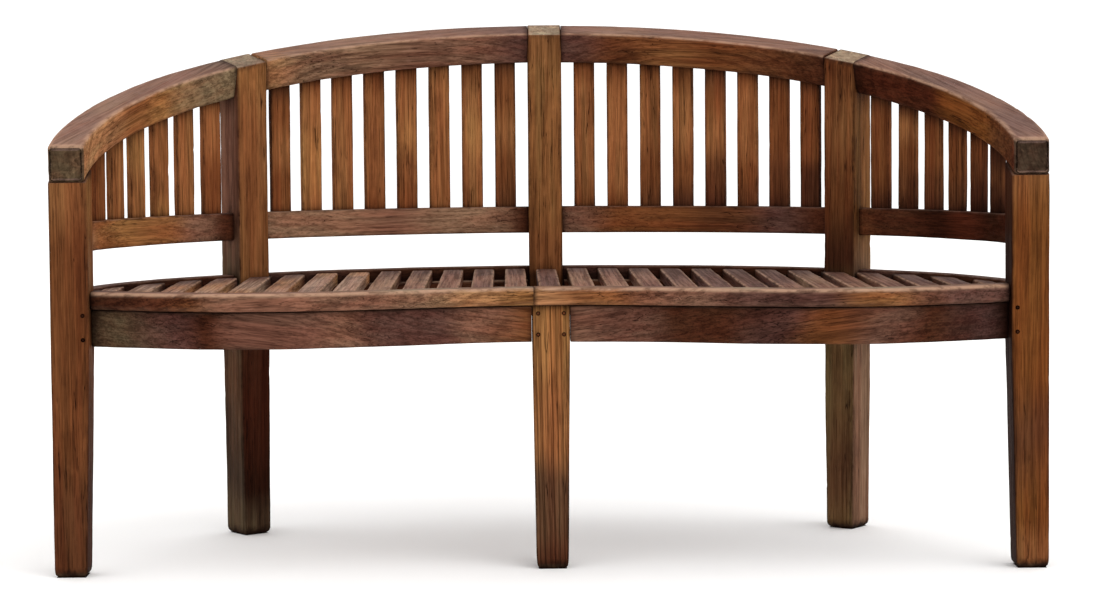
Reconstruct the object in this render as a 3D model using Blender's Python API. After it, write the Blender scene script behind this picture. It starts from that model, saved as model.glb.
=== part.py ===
"""Curved garden bench in oiled hardwood.

The seat is a peanut-shaped panel of slats inside a pegged mortise-and-tenon frame.
The top rail is sawn from flat planks along half an ellipse and laid on a sloping plane,
so one line falls from the middle of the back to the ends of the arms.
The bench faces -Y and stands on the plane Z = 0, with its origin under the middle.
"""
import math

import bmesh
import bpy
import numpy
from mathutils import Matrix, Vector

# Overall form, in metres
BENCH_LENGTH = 1.500
BACK_HEIGHT = 0.842
ARM_HEIGHT = 0.649
BACK_REACH = 0.595
SEAT_HEIGHT = 0.430

# Top rail
RAIL_WIDTH = 0.055
RAIL_THICKNESS = 0.053
RAIL_EASE = 0.005

# Posts and the middle leg
POST_WIDTH = 0.058
POST_EASE = 0.003
POST_TOP_DROP = 0.002
POST_TAPER = 0.008
LEG_TAPER = 0.0045
FOOT_CHAMFER = 0.006
BACK_POST_INSET = 0.252

# Lower back rail. Its share is the part of the clear height, between seat and arm, left under it.
LOWER_RAIL_PLACE_SHARE = 0.4755
LOWER_RAIL_DEPTH = 0.0455
LOWER_RAIL_THICKNESS = 0.024
LOWER_RAIL_EASE = 0.002

# Upright slats of the back
SLAT_WIDTH = 0.036
SLAT_THICKNESS = 0.012
SLAT_EASE = 0.0015
SLAT_SOCKET_DEPTH = 0.012
BACK_SLAT_COUNT = 8
SIDE_SLAT_COUNT = 7

# Seat rim, the moulded board along the front of the seat
RIM_THICKNESS = 0.028
RIM_EASE = 0.005
RIM_BULGE = 0.062
RIM_BULGE_PLACE = 0.440
RIM_CENTRE_SET_BACK = 0.024
RIM_END_SET_BACK = 0.012
RIM_JOINT_PLACE = -0.026

# Seat frame: front aprons, curved seat rails and the middle stretcher
APRON_DEPTH = 0.056
APRON_THICKNESS = 0.028
APRON_SET_BACK = 0.012
APRON_EASE = 0.002
LEG_PROUD = 0.0015
SEAT_RAIL_THICKNESS = 0.028
SEAT_RAIL_EASE = 0.003
STRETCHER_WIDTH = 0.034
STRETCHER_EASE = 0.002

# Seat slats and the cleats that carry them
SEAT_SLAT_WIDTH = 0.035
SEAT_SLAT_SPACE = 0.0175
SEAT_SLAT_THICKNESS = 0.020
SEAT_SLAT_EASE = 0.002
SEAT_SLAT_DROP = 0.004
SEAT_SLAT_LEAST_WIDTH = 0.015
SEAT_SLAT_CLEARANCE = 0.0015
CLEAT_WIDTH = 0.022
CLEAT_DEPTH = 0.024
CLEAT_HOUSING = 0.002
CLEAT_END_SPACE = 0.026

# Joints
RAIL_TENON_HEIGHT = 0.028
RAIL_TENON_THICKNESS = 0.020
ARM_TENON_WIDTH = 0.028
ARM_TENON_LENGTH = 0.028
LOWER_TENON_HEIGHT = 0.030
SEAT_TENON_HEIGHT = 0.043
SEAT_TENON_THICKNESS = 0.010
STRETCHER_TENON_LENGTH = 0.014
TENON_ROOT = 0.012
TENON_WEB = 0.012
PEG_DIAMETER = 0.007
PEG_LENGTH = 0.032
PEG_PROUD = 0.0005
PEG_EASE = 0.0006
PEG_SPACING = 0.032
PEG_EDGE_DISTANCE = 0.0095

# Fits and working allowances
FIT_CLEARANCE = 0.0003
CUT_OVERRUN = 0.020
CURVE_MARGIN = 0.012

# Facets and angles
RAIL_STEPS = 14
RIM_STEPS = 30
LINE_STEPS = 360
PEG_SIDES = 12
SHARP_ANGLE = math.radians(32)

# Worked out from the sizes above
HALF_LENGTH = BENCH_LENGTH / 2
HALF_POST = POST_WIDTH / 2
TILT = math.atan2(BACK_HEIGHT - ARM_HEIGHT, BACK_REACH)
RAIL_DROP = RAIL_THICKNESS / math.cos(TILT)
FRAME_HALF_LENGTH = HALF_LENGTH - RAIL_WIDTH / 2
FRAME_REACH = BACK_REACH + (RAIL_THICKNESS * math.sin(TILT) - RAIL_WIDTH * math.cos(TILT)) / 2
ROUND_LOSS = RAIL_EASE * (math.cos(TILT) + math.sin(TILT) - 1)
BACK_LIMIT = BACK_REACH + RAIL_THICKNESS * math.sin(TILT) - ROUND_LOSS
MIDDLE_DEPTH = (BACK_LIMIT - RIM_BULGE) / 2
SEAT_INSIDE = HALF_LENGTH - POST_WIDTH
BACK_POST_SPACING = BENCH_LENGTH - 2 * BACK_POST_INSET
CLEAR_HEIGHT = ARM_HEIGHT - RAIL_DROP - SEAT_HEIGHT - LOWER_RAIL_DEPTH
LOWER_RAIL_BOTTOM = SEAT_HEIGHT + CLEAR_HEIGHT * LOWER_RAIL_PLACE_SHARE
LOWER_RAIL_TOP = LOWER_RAIL_BOTTOM + LOWER_RAIL_DEPTH
RIM_WIDTH = APRON_SET_BACK + APRON_THICKNESS
RIM_UNDERSIDE = SEAT_HEIGHT - RIM_THICKNESS
APRON_TOP = RIM_UNDERSIDE - FIT_CLEARANCE
APRON_BOTTOM = APRON_TOP - APRON_DEPTH
SLAT_SEAT_TOP = SEAT_HEIGHT - SEAT_SLAT_DROP
SLAT_SEAT_UNDERSIDE = SLAT_SEAT_TOP - SEAT_SLAT_THICKNESS
SEAT_TENON_MIDDLE = APRON_BOTTOM + APRON_DEPTH / 2
TENON_LENGTH = (POST_WIDTH - TENON_WEB) / 2
LEG_FRONT = RIM_CENTRE_SET_BACK + APRON_SET_BACK - LEG_PROUD
CURVE_LEAD = HALF_POST + CURVE_MARGIN
SIDES = (("left", -1), ("right", 1))

# Wood colours, as red, green, blue and roughness
POST_WOOD = (0.27, 0.125, 0.055, 0.62)
RAIL_WOOD = (0.20, 0.105, 0.078, 0.66)
SLAT_WOOD = (0.22, 0.095, 0.042, 0.60)
SEAT_WOOD = (0.24, 0.130, 0.092, 0.68)
RIM_WOOD = (0.34, 0.165, 0.088, 0.58)
APRON_WOOD = (0.15, 0.070, 0.052, 0.66)
LEG_WOOD = (0.33, 0.165, 0.060, 0.64)
PEG_WOOD = (0.08, 0.038, 0.024, 0.70)


def clear_scene():
    """Remove every object that the scene starts with."""
    for item in list(bpy.data.objects):
        bpy.data.objects.remove(item, do_unlink=True)


def wood(name, look):
    """A plain oiled-wood material."""
    red, green, blue, roughness = look
    material = bpy.data.materials.new(name)
    material.use_nodes = True
    shader = material.node_tree.nodes["Principled BSDF"]
    shader.inputs["Base Color"].default_value = (red, green, blue, 1)
    shader.inputs["Roughness"].default_value = roughness
    shader.inputs["Metallic"].default_value = 0
    material.diffuse_color = (red, green, blue, 1)
    return material


def guide(name, parent, location=(0, 0, 0), tilt=0):
    """An empty that carries other pieces."""
    empty = bpy.data.objects.new(name, None)
    bpy.context.collection.objects.link(empty)
    empty.parent = parent
    empty.location = location
    empty.rotation_euler = (tilt, 0, 0)
    return empty


def place(name, shape, material, parent, location=(0, 0, 0), heading=0):
    """Turn a bmesh into a named object, placed and turned about Z under its parent."""
    bmesh.ops.recalc_face_normals(shape, faces=shape.faces)
    mesh = bpy.data.meshes.new(name)
    shape.to_mesh(mesh)
    shape.free()
    mesh.shade_smooth()
    mesh.set_sharp_from_angle(angle=SHARP_ANGLE)
    if material:
        mesh.materials.append(material)
    piece = bpy.data.objects.new(name, mesh)
    bpy.context.collection.objects.link(piece)
    piece.parent = parent
    piece.location = location
    piece.rotation_euler = (0, 0, heading)
    return piece


def ring_solid(shape, rings):
    """Add a closed solid that passes through rings of equal point count, with flat ends."""
    loops = [[shape.verts.new(point) for point in ring] for ring in rings]
    shape.faces.new(loops[0])
    shape.faces.new(loops[-1])
    for lower, upper in zip(loops, loops[1:]):
        for index, corner in enumerate(lower):
            after = (index + 1) % len(lower)
            shape.faces.new((corner, lower[after], upper[after], upper[index]))


def flat_prism(shape, outline, bottom, top):
    """Add a prism with level ends over a plan outline."""
    ring_solid(shape, [[(x, y, height) for x, y in outline] for height in (bottom, top)])


def trim(shape, cuts, frame=Matrix()):
    """Cut a solid back to each plane, given as a point and the direction of the waste."""
    to_local = frame.inverted()
    for point, direction in cuts:
        result = bmesh.ops.bisect_plane(
            shape,
            geom=shape.verts[:] + shape.edges[:] + shape.faces[:],
            plane_co=to_local @ Vector(point),
            plane_no=to_local.to_3x3() @ Vector(direction),
            clear_outer=True,
        )
        rim_edges = [item for item in result["geom_cut"] if isinstance(item, bmesh.types.BMEdge)]
        bmesh.ops.holes_fill(shape, edges=rim_edges, sides=0)


def soften(piece, width, segments=1):
    """Ease the arrises of a piece."""
    bevel = piece.modifiers.new("eased arrises", "BEVEL")
    bevel.width = width
    bevel.segments = segments
    bevel.limit_method = "ANGLE"
    bevel.angle_limit = SHARP_ANGLE
    return piece


def combine(piece, tool, operation):
    """Join a hidden tool body to a piece, or cut it away."""
    tool.hide_render = True
    tool.display_type = "WIRE"
    boolean = piece.modifiers.new(tool.name, "BOOLEAN")
    boolean.operation = operation
    boolean.solver = "EXACT"
    boolean.object = tool


def block(name, size, centre, heading, parent):
    """A hidden rectangular tool body."""
    shape = bmesh.new()
    bmesh.ops.create_cube(shape, size=1, matrix=Matrix.Diagonal((*size, 1)))
    return place(name, shape, None, parent, centre, heading)


def ellipse_point(angle, half_length, reach, inset):
    """Point of an ellipse, moved inwards along its normal."""
    point = Vector((half_length * math.cos(angle), reach * math.sin(angle)))
    outward = Vector((math.cos(angle) / half_length, math.sin(angle) / reach)).normalized()
    return point - outward * inset


def arc_points(half_length, reach, inset, start, end, steps):
    """Points along an inset ellipse between two angles."""
    angles = [start + (end - start) * step / steps for step in range(steps + 1)]
    return [ellipse_point(angle, half_length, reach, inset) for angle in angles]


def frame_station(angle):
    """Plan point of the frame line and the heading of its tangent, towards the right."""
    point = ellipse_point(angle, FRAME_HALF_LENGTH, FRAME_REACH, 0)
    heading = math.atan2(-FRAME_REACH * math.cos(angle), FRAME_HALF_LENGTH * math.sin(angle))
    return point, heading


def frame_distances():
    """Angles along the right half of the frame line and their distance from its middle."""
    angles = [math.pi / 2 * (1 - step / LINE_STEPS) for step in range(LINE_STEPS + 1)]
    points = [ellipse_point(angle, FRAME_HALF_LENGTH, FRAME_REACH, 0) for angle in angles]
    distances = [0.0]
    for earlier, later in zip(points, points[1:]):
        distances.append(distances[-1] + (later - earlier).length)
    return angles, distances


LINE_ANGLES, LINE_DISTANCES = frame_distances()
BACK_POST_ANGLE = math.acos(BACK_POST_SPACING / 2 / FRAME_HALF_LENGTH)
BACK_POST_DISTANCE = float(numpy.interp(-BACK_POST_ANGLE, [-a for a in LINE_ANGLES], LINE_DISTANCES))
FRONT_POST_ANGLE = math.asin(POST_WIDTH / FRAME_REACH)
FRONT_POST_DISTANCE = float(numpy.interp(-FRONT_POST_ANGLE, [-a for a in LINE_ANGLES], LINE_DISTANCES))


def angle_at(distance, side):
    """Angle of the frame line at a distance from its middle, on the left or the right."""
    right_angle = float(numpy.interp(distance, LINE_DISTANCES, LINE_ANGLES))
    return right_angle if side > 0 else math.pi - right_angle


def turned(heading, along, outward):
    """Plan vector with the given parts along and across a heading."""
    return Matrix.Rotation(heading, 2) @ Vector((along, outward))


def rail_top(depth):
    """Height of the sloping plane of the rail's top, at a distance behind the arm ends."""
    return ARM_HEIGHT + depth * math.tan(TILT)


def rail_underside(depth):
    """Height of the rail's underside, at a distance behind the arm ends."""
    return rail_top(depth) - RAIL_DROP


def front_line(across):
    """Front edge of the seat: hollow at the middle leg, full at two bulges, back at the posts."""
    distance = abs(across)
    if distance < RIM_BULGE_PLACE:
        blend = (1 - math.cos(math.pi * distance / RIM_BULGE_PLACE)) / 2
        return RIM_CENTRE_SET_BACK - (RIM_CENTRE_SET_BACK + RIM_BULGE) * blend
    run = (distance - RIM_BULGE_PLACE) / (SEAT_INSIDE - RIM_BULGE_PLACE)
    return (RIM_END_SET_BACK + RIM_BULGE) * (1 - math.cos(math.pi / 2 * run)) - RIM_BULGE


def lead_point(before, last):
    """Point that carries a line straight on past its last point."""
    return last + (last - before).normalized() * CURVE_LEAD


def front_points(start, end, inset):
    """Points along the front edge of the seat, moved back along its normal, with straight leads."""
    points = []
    for step in range(RIM_STEPS + 1):
        across = start + (end - start) * step / RIM_STEPS
        slope = (front_line(across + FIT_CLEARANCE) - front_line(across - FIT_CLEARANCE)) / 2
        backward = Vector((-slope, FIT_CLEARANCE)).normalized()
        points.append(Vector((across, front_line(across))) + backward * inset)
    return [lead_point(points[1], points[0])] + points + [lead_point(points[-2], points[-1])]


def back_posts():
    """Name, side, plan point and heading of the posts along the back."""
    middle_point, middle_heading = frame_station(math.pi / 2)
    found = {"back_post_centre": (middle_point, middle_heading)}
    for side_name, side in SIDES:
        angle = BACK_POST_ANGLE if side > 0 else math.pi - BACK_POST_ANGLE
        found["back_post_" + side_name] = frame_station(angle)
    return found


def post_outline(low_inset, high_inset, back_inset, front_inset=0):
    """Plan corners of a post's section, with its left, right, back and front faces drawn in."""
    left = low_inset - HALF_POST
    right = HALF_POST - high_inset
    back = HALF_POST - back_inset
    front = front_inset - HALF_POST
    return [(left, front), (right, front), (right, back), (left, back)]


def post_rings(insets, top_height, point, heading):
    """Rings of a tapered post: its chamfered foot, where the taper starts, and its cut top."""
    sole = post_outline(*(inset + FOOT_CHAMFER for inset in insets), FOOT_CHAMFER)
    foot = post_outline(*insets)
    body = post_outline(0, 0, 0)
    levels = ((sole, 0), (foot, FOOT_CHAMFER), (body, APRON_BOTTOM))
    rings = [[(x, y, height) for x, y in outline] for outline, height in levels]
    top = []
    for x, y in body:
        depth = (Vector(point) + turned(heading, x, y)).y
        top.append((x, y, top_height(depth)))
    return rings + [top]


def build_front_post(side_name, side, base, material):
    """Front post, whose top is sawn to the slope of the arm and carries a stub tenon."""
    centre = (side * (HALF_LENGTH - HALF_POST), HALF_POST, 0)
    shape = bmesh.new()
    insets = (0, POST_TAPER, POST_TAPER) if side < 0 else (POST_TAPER, 0, POST_TAPER)
    rings = post_rings(insets, lambda depth: rail_underside(depth) - FIT_CLEARANCE, centre[:2], 0)
    ring_solid(shape, rings)
    post = place("front_post_" + side_name, shape, material, base, centre)
    soften(post, POST_EASE, 2)
    shoulder = rail_underside(HALF_POST)
    height = ARM_TENON_LENGTH + TENON_ROOT
    middle = shoulder + (ARM_TENON_LENGTH - TENON_ROOT) / 2
    size = (ARM_TENON_WIDTH, ARM_TENON_WIDTH, height)
    tenon = block("arm_tenon_" + side_name, size, (*centre[:2], middle), 0, base)
    combine(post, tenon, "UNION")
    return post


def build_back_post(name, point, heading, base, material):
    """Back post on the frame line, turned square to it, its top flush in the rail."""
    shape = bmesh.new()
    if name == "back_post_centre":
        body = post_outline(0, 0, 0)
        top = [(x, y, rail_top(point.y + y) - POST_TOP_DROP) for x, y in body]
        ring_solid(shape, [[(x, y, APRON_BOTTOM) for x, y in body], top])
    else:
        insets = (POST_TAPER / 2, POST_TAPER / 2, 0)
        ring_solid(shape, post_rings(insets, lambda depth: rail_top(depth) - POST_TOP_DROP, point, heading))
    post = place(name, shape, material, base, (*point, 0), heading)
    return soften(post, POST_EASE, 2)


def build_centre_leg(base, material):
    """Middle front leg, tapered on both sides, under the rim."""
    shape = bmesh.new()
    body = post_outline(0, 0, 0)
    foot = post_outline(LEG_TAPER, LEG_TAPER, 0)
    rings = [[(x, y, 0) for x, y in foot]]
    rings += [[(x, y, height) for x, y in body] for height in (APRON_BOTTOM, APRON_TOP)]
    ring_solid(shape, rings)
    leg = place("front_leg_centre", shape, material, base, (0, LEG_FRONT + HALF_POST, 0))
    return soften(leg, POST_EASE, 2)


def tenon_joint(label, rail, post, face, heading, height, section, length, base):
    """Add a tenon to a rail's end and cut its mortise in the post.

    The face point lies on the post, and the heading points from the rail into the post.
    """
    thickness, depth = section
    into = turned(heading, 1, 0)
    middle = Vector(face) + into * (length - TENON_ROOT) / 2
    size = (length + TENON_ROOT, thickness, depth)
    tenon = block("tenon_" + label, size, (*middle, height), heading, base)
    combine(rail, tenon, "UNION")
    reach = length + FIT_CLEARANCE
    middle = Vector(face) + into * (reach - CUT_OVERRUN) / 2
    size = (reach + CUT_OVERRUN, thickness + 2 * FIT_CLEARANCE, depth + 2 * FIT_CLEARANCE)
    mortise = block("mortise_" + label, size, (*middle, height), heading, base)
    combine(post, mortise, "DIFFERENCE")


def post_face(point, heading, toward):
    """Point and inward heading of the post face that a rail on that side meets."""
    face = Vector(point) + turned(heading, toward * HALF_POST, 0)
    return face, heading + (math.pi if toward > 0 else 0)


def shoulder_cut(face, heading, clearance=FIT_CLEARANCE):
    """Vertical plane where a rail stops short of a post, with the waste inside the post."""
    into = turned(heading, 1, 0)
    point = Vector(face) - into * clearance
    return (*point, 0), (*into, 0)


def bay_ends(kind, side_name, side, posts):
    """The two post faces that close one bay of the back, nearer the middle first."""
    point, heading = posts["back_post_" + side_name]
    if kind == "back":
        middle_point, middle_heading = posts["back_post_centre"]
        return post_face(middle_point, middle_heading, side), post_face(point, heading, -side)
    front_face = Vector((side * FRAME_HALF_LENGTH, POST_WIDTH))
    return post_face(point, heading, side), (front_face, -math.pi / 2)


def bay_span(kind):
    """Distances along the frame line where a bay's curve starts and stops, inside its posts."""
    if kind == "back":
        return HALF_POST + CURVE_MARGIN, BACK_POST_DISTANCE - HALF_POST - CURVE_MARGIN
    return BACK_POST_DISTANCE + HALF_POST + CURVE_MARGIN, FRONT_POST_DISTANCE - CURVE_MARGIN


def curved_outline(half_length, reach, insets, span, side, arm_end=False):
    """Plan outline of a curved rail, carried straight on past both ends of its span."""
    near, far = (angle_at(distance, 1) for distance in span)
    lines = []
    for inset in insets:
        line = arc_points(half_length, reach, inset, far, near, RAIL_STEPS)
        line.append(lead_point(line[-2], line[-1]))
        if arm_end:
            line[0] = line[0] - Vector((0, RAIL_THICKNESS))
        else:
            line.insert(0, lead_point(line[1], line[0]))
        lines.append(line)
    return [(side * x, y) for x, y in lines[0] + lines[1][::-1]]


def build_top_rail(kind, side_name, side, ends, rail_plane, material):
    """One length of the top rail, sawn square to the sloping plane and cut at the posts."""
    shape = bmesh.new()
    reach = BACK_REACH / math.cos(TILT)
    arm_end = kind == "side"
    near, far = bay_span(kind)
    span = (near, LINE_DISTANCES[-1]) if arm_end else (near, far)
    outline = curved_outline(HALF_LENGTH, reach, (0, RAIL_WIDTH), span, side, arm_end)
    flat_prism(shape, outline, -RAIL_THICKNESS, 0)
    frame = Matrix.Translation((0, 0, ARM_HEIGHT)) @ Matrix.Rotation(TILT, 4, "X")
    near_end, far_end = ends
    cuts = [shoulder_cut(*near_end)]
    cuts.append(((0, 0, 0), (0, -1, 0)) if arm_end else shoulder_cut(*far_end))
    trim(shape, cuts, frame)
    prefix = "arm_rail_" if arm_end else "top_rail_"
    rail = place(prefix + side_name, shape, material, rail_plane)
    return soften(rail, RAIL_EASE, 2)


def build_level_rail(name, bay, sizes, ends, base, material):
    """A level curved rail between two posts, for the back or for the seat."""
    kind, side = bay
    thickness, bottom, top, ease = sizes
    shape = bmesh.new()
    insets = (-thickness / 2, thickness / 2)
    outline = curved_outline(FRAME_HALF_LENGTH, FRAME_REACH, insets, bay_span(kind), side)
    flat_prism(shape, outline, bottom, top)
    trim(shape, [shoulder_cut(*end) for end in ends])
    rail = place(name, shape, material, base)
    return soften(rail, ease)


def slat_outline(width, thickness, ease):
    """Section of an upright slat with its four arrises taken off."""
    half_width = width / 2
    half_thickness = thickness / 2
    corners = []
    for across, through in ((1, 1), (-1, 1), (-1, -1), (1, -1)):
        long_side = (across * (half_width - ease), through * half_thickness)
        short_side = (across * half_width, through * (half_thickness - ease))
        corners += [short_side, long_side] if across * through > 0 else [long_side, short_side]
    return corners


def upright(outline, point, heading, bottom, top_offset):
    """Solid over a turned outline, from a level foot to a head parallel to the rail."""
    head = []
    for x, y in outline:
        depth = (Vector(point) + turned(heading, x, y)).y
        head.append((x, y, rail_underside(depth) + top_offset))
    return [[(x, y, bottom) for x, y in outline], head]


def build_slats(kind, side_name, side, base, material):
    """The upright slats of one bay, with the tool bodies of their sockets."""
    if kind == "back":
        start, end, count = HALF_POST, BACK_POST_DISTANCE - HALF_POST, BACK_SLAT_COUNT
    else:
        start, end, count = BACK_POST_DISTANCE + HALF_POST, FRONT_POST_DISTANCE, SIDE_SLAT_COUNT
    space = (end - start - count * SLAT_WIDTH) / (count + 1)
    bottom = LOWER_RAIL_TOP - SLAT_SOCKET_DEPTH
    sockets = bmesh.new()
    for index in range(count):
        distance = start + (space + SLAT_WIDTH) * (index + 1) - SLAT_WIDTH / 2
        point, heading = frame_station(angle_at(distance, side))
        outline = slat_outline(SLAT_WIDTH, SLAT_THICKNESS, SLAT_EASE)
        shape = bmesh.new()
        ring_solid(shape, upright(outline, point, heading, bottom, SLAT_SOCKET_DEPTH))
        name = "_".join((kind, "slat", side_name, str(index + 1)))
        place(name, shape, material, base, (*point, 0), heading)
        grown = slat_outline(SLAT_WIDTH + 2 * FIT_CLEARANCE, SLAT_THICKNESS + 2 * FIT_CLEARANCE, SLAT_EASE)
        rings = upright(
            grown, point, heading, bottom - FIT_CLEARANCE, SLAT_SOCKET_DEPTH + FIT_CLEARANCE
        )
        placed = [[(*(point + turned(heading, x, y)), z) for x, y, z in ring] for ring in rings]
        ring_solid(sockets, placed)
    return place("_".join((kind, "slat_sockets", side_name)), sockets, None, base)


def build_rim(side_name, side, base, material):
    """One half of the moulded rim, butted at the middle leg."""
    shape = bmesh.new()
    joint = RIM_JOINT_PLACE + side * CURVE_MARGIN
    start, end = sorted((joint, side * (SEAT_INSIDE - CURVE_MARGIN)))
    front = front_points(start, end, 0)
    back = front_points(start, end, RIM_WIDTH)
    flat_prism(shape, front + back[::-1], RIM_UNDERSIDE, SEAT_HEIGHT)
    middle_cut = (RIM_JOINT_PLACE + side * FIT_CLEARANCE / 2, 0, 0), (-side, 0, 0)
    post_cut = (side * (SEAT_INSIDE - FIT_CLEARANCE), 0, 0), (side, 0, 0)
    trim(shape, [middle_cut, post_cut])
    rim = place("seat_rim_" + side_name, shape, material, base)
    return soften(rim, RIM_EASE, 2)


def apron_span(side):
    """Places along the bench where an apron's curve starts and stops, inside its posts."""
    return sorted((side * (HALF_POST + CURVE_MARGIN), side * (SEAT_INSIDE - CURVE_MARGIN)))


def build_apron(side_name, side, base, material):
    """Curved apron under the rim, from the middle leg to a front post."""
    shape = bmesh.new()
    start, end = apron_span(side)
    front = front_points(start, end, APRON_SET_BACK)
    back = front_points(start, end, RIM_WIDTH)
    flat_prism(shape, front + back[::-1], APRON_BOTTOM, APRON_TOP)
    middle_cut = (side * (HALF_POST + FIT_CLEARANCE), 0, 0), (-side, 0, 0)
    post_cut = (side * (SEAT_INSIDE - FIT_CLEARANCE), 0, 0), (side, 0, 0)
    trim(shape, [middle_cut, post_cut])
    apron = place("front_apron_" + side_name, shape, material, base)
    return soften(apron, APRON_EASE)


def apron_middle(across):
    """Depth of the middle of the apron's thickness at a place along the bench."""
    points = front_points(*apron_span(1), APRON_SET_BACK + APRON_THICKNESS / 2)
    return line_depth(points, abs(across))


def build_stretcher(post_front, base, material):
    """Straight stretcher under the seat, from the middle leg to the middle back post."""
    leg_back = LEG_FRONT + POST_WIDTH
    front = leg_back + FIT_CLEARANCE
    back = post_front - FIT_CLEARANCE
    shape = bmesh.new()
    half = STRETCHER_WIDTH / 2
    outline = [(-half, front), (half, front), (half, back), (-half, back)]
    flat_prism(shape, outline, APRON_BOTTOM, SLAT_SEAT_UNDERSIDE - FIT_CLEARANCE)
    stretcher = place("seat_stretcher", shape, material, base)
    return soften(stretcher, STRETCHER_EASE)


def build_pegs(leg, aprons, base, material):
    """Pegs through the middle leg and the tenons of the aprons."""
    turn = Matrix.Rotation(math.pi / 2, 4, "X")
    for side_name, side in SIDES:
        for level_name, level in (("upper", 1), ("lower", -1)):
            name = "leg_peg_" + level_name + "_" + side_name
            across = side * (HALF_POST - PEG_EDGE_DISTANCE)
            height = SEAT_TENON_MIDDLE + level * PEG_SPACING / 2
            centre = (across, LEG_FRONT - PEG_PROUD + PEG_LENGTH / 2, height)
            for label, grow in ((name, 0), (name + "_hole", FIT_CLEARANCE)):
                shape = bmesh.new()
                bmesh.ops.create_cone(
                    shape,
                    cap_ends=True,
                    segments=PEG_SIDES,
                    radius1=PEG_DIAMETER / 2 + grow,
                    radius2=PEG_DIAMETER / 2 + grow,
                    depth=PEG_LENGTH + 2 * grow,
                    matrix=turn,
                )
                if grow:
                    hole = place(label, shape, None, base, centre)
                    combine(leg, hole, "DIFFERENCE")
                    combine(aprons[side], hole, "DIFFERENCE")
                else:
                    soften(place(label, shape, material, base, centre), PEG_EASE)


def line_depth(points, across):
    """Depth of a plan line at a place along the bench."""
    ordered = sorted(points, key=lambda point: point.x)
    return float(numpy.interp(across, [p.x for p in ordered], [p.y for p in ordered]))


def seat_front(across):
    """Depth where a seat slat starts, just behind the rim."""
    points = front_points(0, SEAT_INSIDE - CURVE_MARGIN, RIM_WIDTH + SEAT_SLAT_CLEARANCE)
    return line_depth(points, abs(across))


def seat_back(across):
    """Depth where a seat slat stops, just inside the curved seat rail."""
    inset = SEAT_RAIL_THICKNESS / 2 + SEAT_SLAT_CLEARANCE
    points = arc_points(FRAME_HALF_LENGTH, FRAME_REACH, inset, 0, math.pi / 2, LINE_STEPS)
    return line_depth(points, abs(across))


def add_seat_slat(shape, low, high):
    """Add one front-to-back seat slat between two places along the bench."""
    outline = [
        (low, seat_front(low)),
        (high, seat_front(high)),
        (high, seat_back(high)),
        (low, seat_back(low)),
    ]
    flat_prism(shape, outline, SLAT_SEAT_UNDERSIDE, SLAT_SEAT_TOP)


def add_front_cleat(shape, side):
    """Add the cleat behind the apron, under the front ends of the slats."""
    inset = RIM_WIDTH + FIT_CLEARANCE
    start, end = apron_span(side)
    front = front_points(start, end, inset)
    back = front_points(start, end, inset + CLEAT_WIDTH)
    cleat = bmesh.new()
    top = SLAT_SEAT_UNDERSIDE + CLEAT_HOUSING
    flat_prism(cleat, front + back[::-1], top - CLEAT_DEPTH, top)
    middle_cut = (side * (HALF_POST + SEAT_SLAT_CLEARANCE), 0, 0), (-side, 0, 0)
    post_cut = (side * (SEAT_INSIDE - SEAT_SLAT_CLEARANCE), 0, 0), (side, 0, 0)
    trim(cleat, [middle_cut, post_cut])
    add_copy(shape, cleat)


def add_back_cleat(shape, kind, side, ends):
    """Add the cleat along one curved seat rail, under the back ends of the slats."""
    inset = SEAT_RAIL_THICKNESS / 2 + FIT_CLEARANCE
    insets = (inset, inset + CLEAT_WIDTH)
    outline = curved_outline(FRAME_HALF_LENGTH, FRAME_REACH, insets, bay_span(kind), side)
    cleat = bmesh.new()
    top = SLAT_SEAT_UNDERSIDE + CLEAT_HOUSING
    flat_prism(cleat, outline, top - CLEAT_DEPTH, top)
    near, far = (shoulder_cut(*end, SEAT_SLAT_CLEARANCE) for end in ends)
    if kind == "side":
        far = (0, POST_WIDTH + CLEAT_END_SPACE, 0), (0, -1, 0)
    trim(cleat, [near, far])
    add_copy(shape, cleat)


def add_copy(shape, other):
    """Add one solid to a set of solids."""
    mesh = bpy.data.meshes.new("seat_cleat")
    other.to_mesh(mesh)
    other.free()
    shape.from_mesh(mesh)
    bpy.data.meshes.remove(mesh)


def slat_places():
    """Left and right edge of each seat slat on the right half, from the middle outwards."""
    pitch = SEAT_SLAT_WIDTH + SEAT_SLAT_SPACE
    limit = SEAT_INSIDE - SEAT_SLAT_CLEARANCE
    places = []
    low = pitch - SEAT_SLAT_WIDTH / 2
    while low + SEAT_SLAT_LEAST_WIDTH < limit:
        places.append((low, min(low + SEAT_SLAT_WIDTH, limit)))
        low += pitch
    return places


def build_seat_half(side_name, side, posts, base, material):
    """The seat slats of one half, housed on their two cleats and notched round the posts."""
    slats = bmesh.new()
    for low, high in slat_places():
        add_seat_slat(slats, *sorted((side * low, side * high)))
    half = place("seat_slats_" + side_name, slats, material, base)
    soften(half, SEAT_SLAT_EASE)
    cleats = bmesh.new()
    add_front_cleat(cleats, side)
    for kind in ("back", "side"):
        add_back_cleat(cleats, kind, side, bay_ends(kind, side_name, side, posts))
    combine(half, place("seat_cleats_" + side_name, cleats, None, base), "UNION")
    point, heading = posts["back_post_" + side_name]
    width = POST_WIDTH + 2 * SEAT_SLAT_CLEARANCE
    size = (width, width, SEAT_HEIGHT)
    notch = block("seat_notch_" + side_name, size, (*point, SEAT_HEIGHT), heading, base)
    combine(half, notch, "DIFFERENCE")
    return half


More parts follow.
